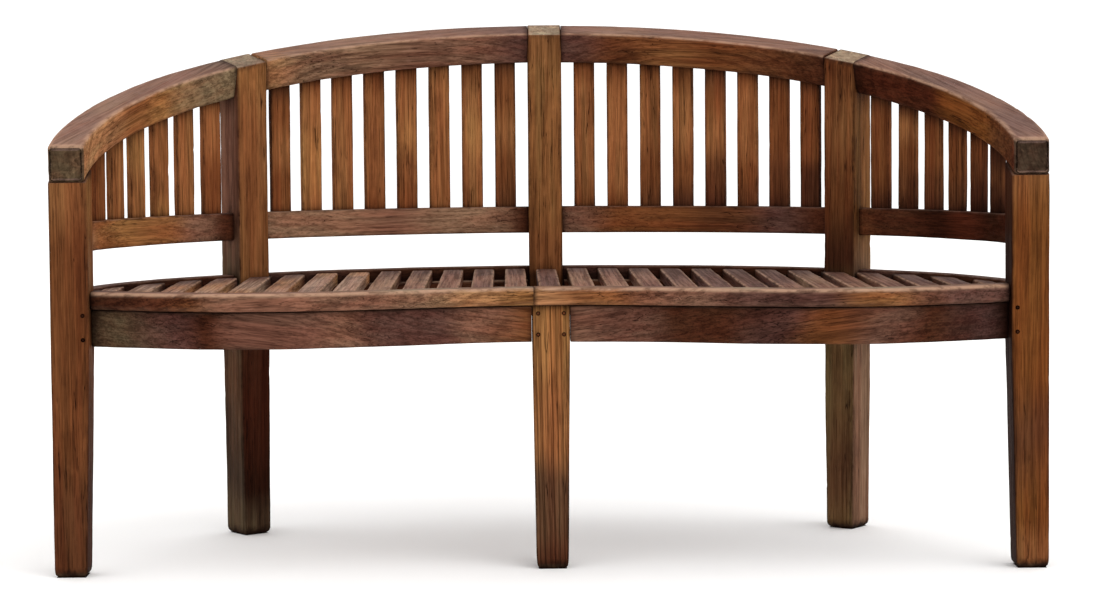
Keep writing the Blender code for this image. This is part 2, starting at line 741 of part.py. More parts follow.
def build_centre_slat(post_front, base, material):
    """The middle seat slat, on the stretcher, from the rim to the middle back post."""
    half = SEAT_SLAT_WIDTH / 2
    front = seat_front(0)
    back = post_front - SEAT_SLAT_CLEARANCE
    shape = bmesh.new()
    outline = [(-half, front), (half, front), (half, back), (-half, back)]
    flat_prism(shape, outline, SLAT_SEAT_UNDERSIDE, SLAT_SEAT_TOP)
    return soften(place("seat_slat_centre", shape, material, base), SEAT_SLAT_EASE)


def build_bay(kind, side_name, side, posts, made, guides, woods):
    """Top rail, lower rail, seat rail and slats of one bay, jointed to its two posts."""
    base, rail_plane = guides
    ends = bay_ends(kind, side_name, side, posts)
    label = kind + "_" + side_name
    top = build_top_rail(kind, side_name, side, ends, rail_plane, woods["rail"])
    lower_sizes = (LOWER_RAIL_THICKNESS, LOWER_RAIL_BOTTOM, LOWER_RAIL_TOP, LOWER_RAIL_EASE)
    lower = build_level_rail(
        "lower_rail_" + label, (kind, side), lower_sizes, ends, base, woods["slat"]
    )
    seat_sizes = (SEAT_RAIL_THICKNESS, APRON_BOTTOM, SEAT_HEIGHT, SEAT_RAIL_EASE)
    seat = build_level_rail(
        "seat_rail_" + label, (kind, side), seat_sizes, ends, base, woods["apron"]
    )
    near_post = "back_post_centre" if kind == "back" else "back_post_" + side_name
    far_post = "back_post_" + side_name if kind == "back" else "front_post_" + side_name
    for post_name, (face, heading) in zip((near_post, far_post), ends):
        post = made[post_name]
        end_label = label + "_" + post_name
        if not post_name.startswith("front"):
            height = (rail_top(face.y) + rail_underside(face.y)) / 2
            section = (RAIL_TENON_THICKNESS, RAIL_TENON_HEIGHT)
            tenon_joint("top_" + end_label, top, post, face, heading, height, section, TENON_LENGTH, base)
        height = (LOWER_RAIL_BOTTOM + LOWER_RAIL_TOP) / 2
        section = (SEAT_TENON_THICKNESS, LOWER_TENON_HEIGHT)
        tenon_joint("lower_" + end_label, lower, post, face, heading, height, section, TENON_LENGTH, base)
        length = STRETCHER_TENON_LENGTH if post_name.startswith("front") else TENON_LENGTH
        section = (SEAT_TENON_THICKNESS, SEAT_TENON_HEIGHT)
        tenon_joint("seat_" + end_label, seat, post, face, heading, SEAT_TENON_MIDDLE, section, length, base)
    sockets = build_slats(kind, side_name, side, base, woods["slat"])
    combine(top, sockets, "DIFFERENCE")
    combine(lower, sockets, "DIFFERENCE")
    if kind == "side":
        cut_arm_mortise(top, side_name, side, base)


def cut_arm_mortise(arm, side_name, side, base):
    """Cut the mortise in an arm for the stub tenon of its front post."""
    width = ARM_TENON_WIDTH + 2 * FIT_CLEARANCE
    shoulder = rail_underside(HALF_POST)
    top = shoulder + ARM_TENON_LENGTH + FIT_CLEARANCE
    bottom = shoulder - CUT_OVERRUN
    centre = (side * (HALF_LENGTH - HALF_POST), HALF_POST, (top + bottom) / 2)
    mortise = block("arm_mortise_" + side_name, (width, width, top - bottom), centre, 0, base)
    combine(arm, mortise, "DIFFERENCE")


def build_front_frame(made, base, woods):
    """Rim, aprons, pegs, stretcher and the joints of the middle leg."""
    leg = made["front_leg_centre"]
    section = (SEAT_TENON_THICKNESS, SEAT_TENON_HEIGHT)
    aprons = {}
    for side_name, side in SIDES:
        build_rim(side_name, side, base, woods["rim"])
        apron = build_apron(side_name, side, base, woods["apron"])
        aprons[side] = apron
        outward = 0 if side > 0 else math.pi
        post_side = (side * SEAT_INSIDE, apron_middle(SEAT_INSIDE))
        post = made["front_post_" + side_name]
        label = "apron_post_" + side_name
        tenon_joint(label, apron, post, post_side, outward, SEAT_TENON_MIDDLE, section, TENON_LENGTH, base)
        leg_side = (side * HALF_POST, apron_middle(HALF_POST))
        label = "apron_leg_" + side_name
        inward = math.pi - outward
        tenon_joint(label, apron, leg, leg_side, inward, SEAT_TENON_MIDDLE, section, TENON_LENGTH, base)
    post_front = FRAME_REACH - HALF_POST
    stretcher = build_stretcher(post_front, base, woods["apron"])
    leg_face = (0, LEG_FRONT + POST_WIDTH)
    length = STRETCHER_TENON_LENGTH
    quarter = math.pi / 2
    middle = SEAT_TENON_MIDDLE
    tenon_joint("stretcher_leg", stretcher, leg, leg_face, -quarter, middle, section, length, base)
    post = made["back_post_centre"]
    post_face_point = (0, post_front)
    tenon_joint("stretcher_post", stretcher, post, post_face_point, quarter, middle, section, length, base)
    build_pegs(leg, aprons, base, woods["peg"])
    build_centre_slat(post_front, base, woods["seat"])


def build_bench():
    """Build every piece of the bench."""
    clear_scene()
    woods = {
        "post": wood("post_wood", POST_WOOD),
        "rail": wood("rail_wood", RAIL_WOOD),
        "slat": wood("slat_wood", SLAT_WOOD),
        "seat": wood("seat_wood", SEAT_WOOD),
        "rim": wood("rim_wood", RIM_WOOD),
        "apron": wood("apron_wood", APRON_WOOD),
        "leg": wood("leg_wood", LEG_WOOD),
        "peg": wood("peg_wood", PEG_WOOD),
    }
    base = guide("bench_base", None, (0, -MIDDLE_DEPTH, 0))
    rail_plane = guide("rail_plane", base, (0, 0, ARM_HEIGHT), TILT)
    posts = back_posts()
    made = {"front_leg_centre": build_centre_leg(base, woods["leg"])}
    for side_name, side in SIDES:
        made["front_post_" + side_name] = build_front_post(side_name, side, base, woods["post"])
    for name, (point, heading) in posts.items():
        made[name] = build_back_post(name, point, heading, base, woods["post"])
    for side_name, side in SIDES:
        for kind in ("back", "side"):
            build_bay(kind, side_name, side, posts, made, (base, rail_plane), woods)
        build_seat_half(side_name, side, posts, base, woods["seat"])
    build_front_frame(made, base, woods)


build_bench()
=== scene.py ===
"""Looks of a curved garden bench in weathered, oiled hardwood.

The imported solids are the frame. A finer board of the same size stands for each of them, in the
same place, with worn arrises, slightly uneven faces, end grain and a coat of its own.
The bench faces -Y and stands on Z = 0. Lengths are in metres.
"""

import math
import random
from collections import namedtuple
from types import SimpleNamespace

import bpy
import numpy
from bpy.props import FloatProperty, FloatVectorProperty, IntProperty, PointerProperty
from mathutils import Color, Matrix, Vector, noise


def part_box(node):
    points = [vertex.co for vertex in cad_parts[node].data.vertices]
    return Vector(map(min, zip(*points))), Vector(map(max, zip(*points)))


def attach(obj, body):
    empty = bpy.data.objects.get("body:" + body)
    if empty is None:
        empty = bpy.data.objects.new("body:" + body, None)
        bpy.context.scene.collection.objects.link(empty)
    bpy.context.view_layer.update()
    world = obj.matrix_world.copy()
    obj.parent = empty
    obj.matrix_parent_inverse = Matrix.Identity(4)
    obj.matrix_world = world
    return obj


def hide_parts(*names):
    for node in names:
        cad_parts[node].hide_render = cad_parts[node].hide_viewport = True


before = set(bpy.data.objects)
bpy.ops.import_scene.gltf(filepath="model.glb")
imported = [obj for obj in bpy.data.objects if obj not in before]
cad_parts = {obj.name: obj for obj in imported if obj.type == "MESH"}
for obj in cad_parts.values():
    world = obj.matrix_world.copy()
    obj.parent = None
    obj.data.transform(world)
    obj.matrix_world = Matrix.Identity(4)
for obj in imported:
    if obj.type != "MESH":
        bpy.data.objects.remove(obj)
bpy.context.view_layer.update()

bl_info = {
    "name": "Curved Garden Bench",
    "version": (1, 0, 0),
    "blender": (4, 5, 0),
    "location": "3D View > Sidebar > Bench",
    "description": "Builds the worn boards, the woods and the stage of a curved garden bench",
    "category": "Add Mesh",
}

POSTS = (
    "front_post_left", "front_post_right", "back_post_left", "back_post_right", "back_post_centre",
    "front_leg_centre",
)
SIDES = (("left", -1), ("right", 1))
BAYS = tuple((kind, side_name, side) for side_name, side in SIDES for kind in ("back", "side"))


def node_low(node):
    """Lowest corner of a solid of the frame."""
    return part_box(node)[0]


def node_high(node):
    """Highest corner of a solid of the frame."""
    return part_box(node)[1]


def metres(label, text, value):
    """A length that can be set in the panel."""
    return FloatProperty(name=label, description=text, default=value, unit="LENGTH", precision=4)


def angle_setting(label, text, value):
    """An angle that can be set in the panel."""
    return FloatProperty(name=label, description=text, default=value, unit="ROTATION")


def plain_setting(label, text, value):
    """A plain number that can be set in the panel."""
    return FloatProperty(name=label, description=text, default=value)


def shade(label, text, red, green, blue):
    """A colour as seen on a screen, from 0 to 255."""
    value = (red / 255, green / 255, blue / 255)
    return FloatVectorProperty(
        name=label, description=text, default=value, size=3, min=0, max=1, subtype="COLOR_GAMMA"
    )


class BenchSizes(bpy.types.PropertyGroup):
    """Sizes of the bench, as its solids have them."""

    half_length: metres("Half length", "From the middle to an arm's outer edge",
                        node_high("front_post_right").x)
    back_height: metres("Back height", "Top of the rail at the middle post", 0.842)
    arm_height: metres("Arm height", "Top of the arm at its front end", 0.649)
    back_reach: metres("Back reach", "From the arm ends to the back of the curve", 0.595)
    rail_width: metres("Rail width", "Width of the top rail", 0.055)
    rail_thickness: metres("Rail thickness", "Thickness of the top rail", 0.053)
    rail_ease: metres("Rail ease", "Rounding of the top rail's arrises", 0.005)
    post_ease: metres("Post ease", "Rounding of the posts' arrises", 0.003)
    post_taper: metres("Post taper", "Wood off a front post's inner sides at the foot", 0.008)
    leg_taper: metres("Leg taper", "Wood taken off each side of the middle leg", 0.0045)
    post_top_drop: metres("Post top drop", "Post tops below the rail's top", 0.004)
    foot_wear: metres("Foot wear", "Rounding of the worn feet", 0.009)
    board_ease: metres("Board ease", "Rounding of the thinner boards' arrises", 0.0024)
    slat_width: metres("Slat width", "Width of a back slat", 0.036)
    slat_thickness: metres("Slat thickness", "Thickness of a back slat", 0.012)
    slat_ease: metres("Slat ease", "Rounding of a back slat's arrises", 0.0018)
    slat_bite: metres("Slat bite", "How far a back slat runs into the rails", 0.002)
    back_slats: IntProperty(name="Back slats", description="Slats in each back bay", default=8)
    side_slats: IntProperty(name="Side slats", description="Slats in each side bay", default=7)
    lower_rail_thickness: metres("Lower rail", "Thickness of the lower back rail", 0.024)
    seat_rail_thickness: metres("Seat rail", "Thickness of the rail behind the seat", 0.028)
    rim_ease: metres("Rim ease", "Rounding of the rim's arrises", 0.006)
    rim_bulge: metres("Rim bulge", "How far the rim swells past the post faces", 0.062)
    rim_bulge_place: metres("Bulge place", "From the middle to the fullest place", 0.440)
    rim_hollow: metres("Rim hollow", "How far the rim draws back at the middle", 0.024)
    rim_end: metres("Rim end", "How far the rim sits back at the posts", 0.012)
    rim_joint: metres("Rim joint", "Place of the joint between the rim's halves", -0.026)
    apron_set_back: metres("Apron set back", "Apron's face behind the rim's edge", 0.012)
    apron_thickness: metres("Apron thickness", "Thickness of the apron", 0.028)
    seat_slat_width: metres("Seat slat width", "Width of a seat slat", 0.035)
    seat_slat_space: metres("Seat slat space", "Space between seat slats", 0.0175)
    seat_slat_least: metres("Least slat", "Narrowest seat slat that is fitted", 0.015)
    cleat_width: metres("Cleat width", "Width of a seat cleat", 0.022)
    cleat_depth: metres("Cleat depth", "Height of a seat cleat", 0.024)
    cleat_end: metres("Cleat end", "Cleat's end behind a front post", 0.026)
    cleat_housing: metres("Cleat housing", "Cleat's top inside the seat slats", 0.002)
    fit: metres("Fit", "Gap between fitted pieces", 0.0003)
    press: metres("Press", "How far a rail's worn end sinks into its post", 0.0005)
    slat_fit: metres("Slat fit", "Gap round the ends of the seat slats", 0.0015)
    peg_edge: metres("Peg edge", "Peg's middle from the edge of its post", 0.0090)
    peg_spacing: metres("Peg spacing", "Between the two pegs of a front post", 0.0365)
    peg_rise: metres("Peg rise", "Front posts' pegs above the middle leg's", 0.0030)


class BenchFinish(bpy.types.PropertyGroup):
    """Colours of the weathered wood and the amount of wear."""

    red_brown: shade("Red brown", "Sound oiled wood", 104, 59, 32)
    russet: shade("Russet", "Warm oiled wood", 106, 60, 27)
    hazel: shade("Hazel", "Dull light brown wood", 94, 65, 43)
    golden: shade("Golden", "Paler wood with more oil left", 126, 79, 46)
    honey: shade("Honey", "Light oiled wood", 138, 92, 53)
    amber: shade("Amber", "The lightest oiled wood", 150, 105, 70)
    olive: shade("Olive", "Greenish brown wood", 110, 84, 54)
    tan: shade("Tan", "Dry light wood", 126, 92, 71)
    walnut: shade("Walnut", "Dull brown wood", 82, 54, 36)
    chestnut: shade("Chestnut", "Darker red wood", 88, 50, 29)
    umber: shade("Umber", "Dark brown wood", 68, 36, 22)
    soot: shade("Soot", "Nearly black wood in sheltered places", 45, 21, 11)
    mahogany: shade("Mahogany", "Deep red wood", 67, 31, 18)
    damson: shade("Damson", "Dark purple brown wood", 68, 43, 38)
    mauve: shade("Mauve", "Dull pinkish wood", 100, 66, 53)
    lichen: shade("Lichen", "Dry greenish grey wood", 117, 94, 70)
    plum: shade("Plum", "Purple brown wood", 84, 54, 46)
    rose: shade("Rose", "Pinkish brown wood", 116, 79, 62)
    moss: shade("Moss", "Greenish grey wood", 79, 61, 44)
    bark: shade("Bark", "Dark weathered end grain", 60, 44, 33)
    ash: shade("Ash", "Pale end grain", 150, 130, 104)
    cream: shade("Cream", "Dry pinkish wood", 148, 116, 97)
    silver: shade("Silver", "Weathered surfaces that face up", 125, 99, 90)
    worn: shade("Worn", "Rubbed arrises", 174, 138, 114)
    # Dark colour of the grime and the joint dirt; it also paints the shade in sheltered places and
    # under the top rail at the slat heads
    dirt_and_shade: shade("Dirt", "Grime in joints and along sheltered arrises", 26, 12, 8)
    arris_wear: metres("Arris wear", "Most that is rubbed off an arris", 0.0014)
    face_wear: metres("Face wear", "Unevenness of the faces", 0.0006)
    dirt_reach: metres("Dirt reach", "How far dirt spreads from a joint", 0.005)


class StageSettings(bpy.types.PropertyGroup):
    """Camera, lights and floor."""

    camera_place: FloatVectorProperty(
        name="Camera", description="Place of the camera", default=(-0.0622, -4.2562, 0.7043),
        subtype="XYZ", unit="LENGTH",
    )
    camera_pitch: angle_setting("Pitch", "Camera below the level", math.radians(3.0))
    camera_yaw: angle_setting("Yaw", "Camera turned to the left", math.radians(-0.8773))
    camera_roll: angle_setting("Roll", "Camera leaning to the left", -0.00782)
    lens: plain_setting("Lens", "Focal length in millimetres", 87.19)
    sensor: plain_setting("Sensor", "Width of the sensor in millimetres", 36.0)
    shift: plain_setting("Shift", "Shift that frames the feet", -0.0535)
    paper: shade("Paper", "The pale floor", 253, 252, 251)
    sky: plain_setting("Sky", "Light from all around", 1.2)
    sun_power: plain_setting("Sun", "Strength of the soft light from the right", 0.9)
    sun_height: angle_setting("Sun height", "Soft light above the level", math.radians(48))
    sun_side: angle_setting("Sun side", "Soft light to the right of the front", math.radians(48))
    sun_softness: angle_setting("Sun softness", "Angle that the light fills", math.radians(60))


# How light a wood is, and how strongly it shows its grain and its age
WoodLook = namedtuple("WoodLook", "tone contrast rings stains silvering rubbed grimy roughness")
WOODS = {
    "post_wood": WoodLook(0.86, 0.43, 0.12, 0.60, 0.50, 0.10, 0.75, 0.62),
    "rail_wood": WoodLook(1.08, 0.56, 0.30, 0.70, 0.90, 0.75, 0.00, 0.66),
    "slat_wood": WoodLook(1.22, 0.48, 0.13, 0.55, 0.50, 0.10, 0.90, 0.62),
    "seat_wood": WoodLook(1.10, 0.80, 0.35, 0.80, 0.60, 0.90, 0.60, 0.66),
    "rim_wood": WoodLook(0.86, 0.66, 0.30, 0.60, 0.75, 1.00, 0.00, 0.62),
    "apron_wood": WoodLook(0.84, 0.58, 0.25, 0.62, 0.50, 0.15, 0.50, 0.66),
    "leg_wood": WoodLook(1.00, 0.58, 0.74, 0.40, 0.40, 0.10, 0.75, 0.64),
    "peg_wood": WoodLook(0.80, 0.40, 0.00, 0.30, 0.30, 0.00, 1.00, 0.70),
}

# Slope of the grain in the curved boards, which are sawn from straight planks
GRAIN_SLOPE = {"rail_wood": 0.05, "rim_wood": 0.05, "apron_wood": 0.12}
LEAST_SLOPE = 0.012

# Coats of the boards: the colours met along each board, from its low or left end to the other.
# A coat that stands alone covers every face, and one under "main" those with none of their own.
COATS = {
    "front_post_left": {
        "main": "chestnut chestnut red_brown red_brown red_brown red_brown golden",
        "right": "umber umber chestnut red_brown golden honey",
    },
    "front_post_right": {
        "main": "golden russet chestnut russet russet russet golden",
        # Its inner face, turned away from the light, is coated nearly black: painted shade
        "left": "soot soot soot soot soot umber",
    },
    "back_post_left": {
        "main": "moss soot mahogany umber golden golden golden honey",
        "left": "moss bark walnut moss rose rose chestnut",
    },
    "back_post_right": {
        "main": "olive hazel olive olive umber red_brown golden red_brown",
        "right": "tan tan tan tan honey honey red_brown",
    },
    "back_post_centre": "chestnut golden honey honey honey golden",
    "front_leg_centre": "umber walnut walnut golden golden honey honey",
    "arm_rail_left": {
        "main": "amber amber amber golden honey lichen lichen",
        "top": "tan rose tan rose rose moss",
    },
    "top_rail_left": "amber tan tan rose rose plum",
    "top_rail_right": {
        "main": "plum chestnut golden red_brown chestnut umber",
        "top": "rose tan rose rose rose rose",
    },
    "arm_rail_right": {
        "main": "soot mahogany mahogany russet russet chestnut mahogany",
        "top": "rose rose plum rose plum rose",
    },
    "lower_rail_side_left": "tan golden honey golden rose umber",
    "lower_rail_back_left": "tan tan tan rose tan tan umber",
    "lower_rail_back_right": "rose red_brown red_brown chestnut plum umber",
    "lower_rail_side_right": "chestnut umber soot mahogany soot mahogany",
    "seat_rim_left": {
        "main": "soot umber chestnut rose rose rose tan amber honey",
        "top": "umber rose rose rose tan tan ash tan ash",
    },
    "seat_rim_right": {
        "main": "amber golden rose plum plum golden plum plum",
        "top": "amber tan tan ash tan ash tan tan",
    },
    "front_apron_left": "moss moss plum umber mauve mauve rose plum plum rose red_brown",
    "front_apron_right": "rose mauve umber umber plum red_brown mauve umber damson soot",
    "seat_rail": "plum umber umber",
    "seat_stretcher": "umber umber",
    "seat_cleat": "umber umber",
    "peg": "umber umber",
}

# Upright slats from the middle outwards, each from its foot to its head. The darker colours at the
# heads are partly dirt and partly painted shadow under the top rail.
SLAT_COATS = {
    "back_left": (
        "chestnut red_brown golden red_brown chestnut",
        "golden golden honey golden red_brown",
        "golden golden golden golden golden",
        "red_brown golden honey golden red_brown",
        "red_brown golden golden golden red_brown",
        "golden golden golden golden red_brown",
        "golden honey honey golden red_brown",
        "red_brown red_brown golden red_brown chestnut",
    ),
    "side_left": (
        "red_brown red_brown golden golden",
        "golden golden golden golden",
        "honey golden golden golden",
        "golden golden honey golden",
        "golden golden golden golden",
        "red_brown red_brown red_brown red_brown",
        "chestnut chestnut red_brown red_brown",
    ),
    "back_right": (
        "red_brown golden golden golden red_brown",
        "red_brown golden golden golden red_brown",
        "chestnut red_brown golden golden red_brown",
        "umber red_brown golden golden red_brown",
        "umber chestnut golden red_brown chestnut",
        "chestnut red_brown golden golden red_brown",
        "umber chestnut red_brown red_brown chestnut",
        "umber umber red_brown red_brown chestnut",
    ),
    "side_right": (
        "umber red_brown red_brown red_brown chestnut",
        "umber chestnut red_brown golden umber",
        "umber chestnut red_brown red_brown umber",
        "umber chestnut red_brown red_brown umber",
        "soot umber chestnut red_brown soot",
        "soot umber chestnut umber soot",
        "soot umber umber umber soot",
    ),
}

# Seat slats from the middle outwards, each from its front end to its back end
SEAT_COATS = {
    "left": (
        "rose rose umber", "plum rose umber", "rose rose umber", "rose tan umber",
        "tan tan umber", "cream cream amber", "cream cream amber", "cream amber umber",
        "amber cream umber", "cream amber plum", "cream amber umber", "amber cream umber",
        "cream tan umber",
    ),
    "centre": ("plum plum umber",),
    "right": (
        "rose tan umber", "tan rose umber", "plum rose umber", "rose plum umber",
        "plum plum umber", "plum umber umber", "rose plum umber",
    ),
}

# Names of a board's faces, by where they look in its section
FACES = {"left": (-1, 0), "right": (1, 0), "top": (0, 1)}

# Directions in the world, and numbers of its axes
FRONT, UNDER, UP = (0, -1, 0), (0, 0, -1), (0, 0, 1)
X, Y, Z = range(3)

# Fineness of the boards
ARRIS_STEPS = 3
ARRIS_BAND = 0.0032
SIDE_SPACING = 0.010
RING_SPACING = 0.007
SEAT_RING_SPACING = 0.011
ROUND_STEPS = 3
CAP_SHARES = (0.28, 0.62, 0.88)
LINE_STEPS = 360
PEG_POINTS = 24

# Search for the place where a line of the section meets an end
SEARCH_MARGIN = 0.030
SEARCH_REACH = 0.070
SEARCH_STEPS = 14
SEARCH_HALVINGS = 12
EDGE_STEP = 0.004

# Rounding of the ends: fitted ones, free ones, pegs and the joint in the rim
TIGHT_ROUND = 0.0012
FREE_ROUND = 0.0025
PEG_ROUND = 0.0009
RIM_JOINT_ROUND = 0.0005

# Reach of the dirt at some ends, as a multiple of its usual one. At the slat heads the longer reach
# also paints the shadow of the top rail.
SLAT_FOOT_DIRT = 1.2
SLAT_HEAD_DIRT_AND_SHADOW = 2.4
RIM_JOINT_DIRT = 0.2

# Wear: on ends that show, its lumps to the metre, and what rubbing and chips take of the most
END_WEAR = 0.9
SLOW_LUMPS, QUICK_LUMPS, CHIP_LUMPS = 9, 42, 60
RUB_EVERYWHERE, RUB_SLOW, RUB_QUICK = 0.35, 0.45, 0.30
CHIP_START, CHIP_GAIN = 0.42, 3

# What chance gives each board: place in the noises, place of the pith, and tone
DRIFT = (-40, 40)
PITH_AWAY = (0.05, 0.12)
PITH_ASIDE = (-0.03, 0.03)
BOARD_TONE = (0.95, 1.05)

# The grain slopes about the face of a board that rises more steeply than this
STEEP = 0.9

# How far the colours of a coat wander along the board, as a share of it, in lumps to the metre
COAT_WANDER = 0.07
COAT_LUMPS = 11

# The floor, from its middle to its edges, and its surface
FLOOR_HALF = 14.0
FLOOR_ROUGHNESS = 0.9
FLOOR_GLOSS = 0.1


class BenchPlan:
    """Curves and places of the bench, worked out from its sizes, and its finish."""

    def __init__(self, sizes, finish):
        self.sizes = sizes
        self.finish = finish
        self.front = node_low("front_post_left").y
        self.post_width = node_high("front_post_left").x - node_low("front_post_left").x
        self.half_post = self.post_width / 2
        self.apron_bottom = node_low("front_apron_left").z
        self.seat_inside = sizes.half_length - self.post_width
        self.rim_width = sizes.apron_set_back + sizes.apron_thickness
        self.tilt = math.atan2(sizes.back_height - sizes.arm_height, sizes.back_reach)
        self.rail_drop = sizes.rail_thickness / math.cos(self.tilt)
        thickness_lost = sizes.rail_thickness * math.sin(self.tilt)
        width_lost = sizes.rail_width * math.cos(self.tilt)
        self.frame_half = sizes.half_length - sizes.rail_width / 2
        self.frame_reach = sizes.back_reach + (thickness_lost - width_lost) / 2
        self.line_angles = [math.pi / 2 * (1 - step / LINE_STEPS) for step in range(LINE_STEPS + 1)]
        self.line_distances = [0.0]
        points = self.frame_line(0)
        for earlier, later in zip(points, points[1:]):
            self.line_distances.append(self.line_distances[-1] + (later - earlier).length)
        back_post = self.post_centre("back_post_right").x
        self.back_post_distance = self.distance_at(math.acos(back_post / self.frame_half))
        self.front_post_distance = self.distance_at(math.asin(self.post_width / self.frame_reach))

    def ellipse_point(self, angle, half_length, reach, inset):
        """Point of an ellipse in plan, moved inwards along its normal."""
        point = Vector((half_length * math.cos(angle), reach * math.sin(angle)))
        outward = Vector((math.cos(angle) / half_length, math.sin(angle) / reach)).normalized()
        return point - outward * inset

    def frame_line(self, inset):
        """Points beside the right half of the frame line, from the middle of the back."""
        return [self.ellipse_point(angle, self.frame_half, self.frame_reach, inset)
                for angle in self.line_angles]

    def distance_at(self, angle):
        """Distance along the frame line, from the middle, at an angle of the right half."""
        falling = [-value for value in self.line_angles]
        return float(numpy.interp(-angle, falling, self.line_distances))

    def angle_at(self, distance):
        """Angle of the frame line at a signed distance from the middle, right being positive."""
        angle = float(numpy.interp(abs(distance), self.line_distances, self.line_angles))
        return angle if distance > 0 else math.pi - angle

    def line_point(self, distance, half_length, reach, inset):
        """Point beside the curve, carried straight forward past its front ends."""
        point = self.ellipse_point(self.angle_at(distance), half_length, reach, inset)
        past = abs(distance) - self.line_distances[-1]
        return point - Vector((0, max(past, 0)))

    def station(self, distance):
        """Plan point of the frame line and the heading of its tangent, towards the right."""
        angle = self.angle_at(distance)
        point = self.ellipse_point(angle, self.frame_half, self.frame_reach, 0)
        across = -self.frame_reach * math.cos(angle)
        return point, math.atan2(across, self.frame_half * math.sin(angle))

    def front_line(self, across):
        """Depth of the seat's front edge: hollow at the middle, full at two bulges."""
        sizes = self.sizes
        distance = abs(across)
        if distance < sizes.rim_bulge_place:
            blend = (1 - math.cos(math.pi * distance / sizes.rim_bulge_place)) / 2
            return sizes.rim_hollow - (sizes.rim_hollow + sizes.rim_bulge) * blend
        run = (distance - sizes.rim_bulge_place) / (self.seat_inside - sizes.rim_bulge_place)
        back = (sizes.rim_end + sizes.rim_bulge) * (1 - math.cos(math.pi / 2 * run))
        return back - sizes.rim_bulge

    def front_point(self, across, inset):
        """Point beside the seat's front edge, moved back along its normal."""
        step = self.sizes.fit
        slope = (self.front_line(across + step) - self.front_line(across - step)) / (2 * step)
        backward = Vector((-slope, 1)).normalized()
        return Vector((across, self.front_line(across))) + backward * inset

    def post_centre(self, node):
        """Plan point in the middle of a post."""
        low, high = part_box(node)
        return Vector(((low.x + high.x) / 2, (low.y + high.y) / 2))

    def in_world(self, point, height):
        """World point over a plan point that is measured from the arm ends."""
        return Vector((point.x, point.y + self.front, height))

    def post_station(self, node):
        """Plan point and heading of a post, the heading square to the curve."""
        centre = self.post_centre(node) - Vector((0, self.front))
        if node.startswith("front"):
            return centre, 0.0
        side = {"back_post_left": -1, "back_post_right": 1}.get(node, 0)
        return centre, self.station(side * self.back_post_distance)[1]

    def bay(self, kind, side):
        """Signed distances where a bay starts and stops between its posts, left one first."""
        if kind == "back":
            ends = (self.half_post, self.back_post_distance - self.half_post)
        else:
            ends = (self.back_post_distance + self.half_post, self.front_post_distance)
        return sorted(side * end for end in ends)


def turned(heading, along, outward):
    """Plan vector with the given parts along and across a heading."""
    return Matrix.Rotation(heading, 2) @ Vector((along, outward))


def side_shares(run):
    """Shares of a flat side where points lie, close to both arrises and evenly between."""
    band = min(ARRIS_BAND, run / 3)
    count = max(1, round((run - 2 * band) / SIDE_SPACING))
    return [(band + (run - 2 * band) * step / count) / run for step in range(count + 1)]


def rounded_section(width, height, ease):
    """Points round a board: place, outward direction, and how much each is part of an arris."""
    flat = Vector((width / 2 - ease, height / 2 - ease))
    corners = [flat * Vector(signs) for signs in ((1, 1), (-1, 1), (-1, -1), (1, -1))]
    points = []
    for quarter, corner in enumerate(corners):
        for step in range(ARRIS_STEPS + 1):
            turn = (quarter + step / ARRIS_STEPS) * math.pi / 2
            outward = Vector((math.cos(turn), math.sin(turn)))
            middle = 1 - abs(2 * step / ARRIS_STEPS - 1) / 2
            points.append((corner + outward * ease, outward, middle))
        target = corners[(quarter + 1) % 4]
        for share in side_shares((target - corner).length):
            points.append((corner.lerp(target, share) + outward * ease, outward, 0.0))
    return points


def round_section(diameter):
    """Points round a peg."""
    points = []
    for step in range(PEG_POINTS):
        turn = 2 * math.pi * step / PEG_POINTS
        outward = Vector((math.cos(turn), math.sin(turn)))
        points.append((outward * diameter / 2, outward, 0.0))
    return points


class End:
    """One end of a board: a place past it, the room left before it, its rounding and its colour.

    The room is a length that falls to zero where the board has to stop. The joint says how far
    dirt spreads from the end, as a multiple of its usual reach, and at the slat heads also painted
    shadow; an end that shows has none.
    """

    def __init__(self, past, room, rounding=TIGHT_ROUND, colour=None, joint=1.0):
        self.past = past
        self.room = room
        self.rounding = rounding
        self.colour = colour
        self.joint = joint


def find_end(place, point, end, inward):
    """How far along one line of the section runs before it meets the end."""
    near = end.past + inward * SEARCH_REACH
    far = end.past
    for step in range(1, SEARCH_STEPS + 1):
        far = end.past + inward * SEARCH_REACH * (1 - step / SEARCH_STEPS)
        if end.room(place(point.x, point.y, far)) < 0:
            break
        near = far
    for _ in range(SEARCH_HALVINGS):
        middle = (near + far) / 2
        if end.room(place(point.x, point.y, middle)) < 0:
            far = middle
        else:
            near = middle
    return near


def add_object(name, data):
    """Put an object into the scene."""
    made = bpy.data.objects.new(name, data)
    bpy.context.scene.collection.objects.link(made)
    return made


def coat_of(name):
    """The coat of a board, or else of the kind of board that its name starts with."""
    return COATS.get(name) or next(COATS[kind] for kind in COATS if name.startswith(kind))


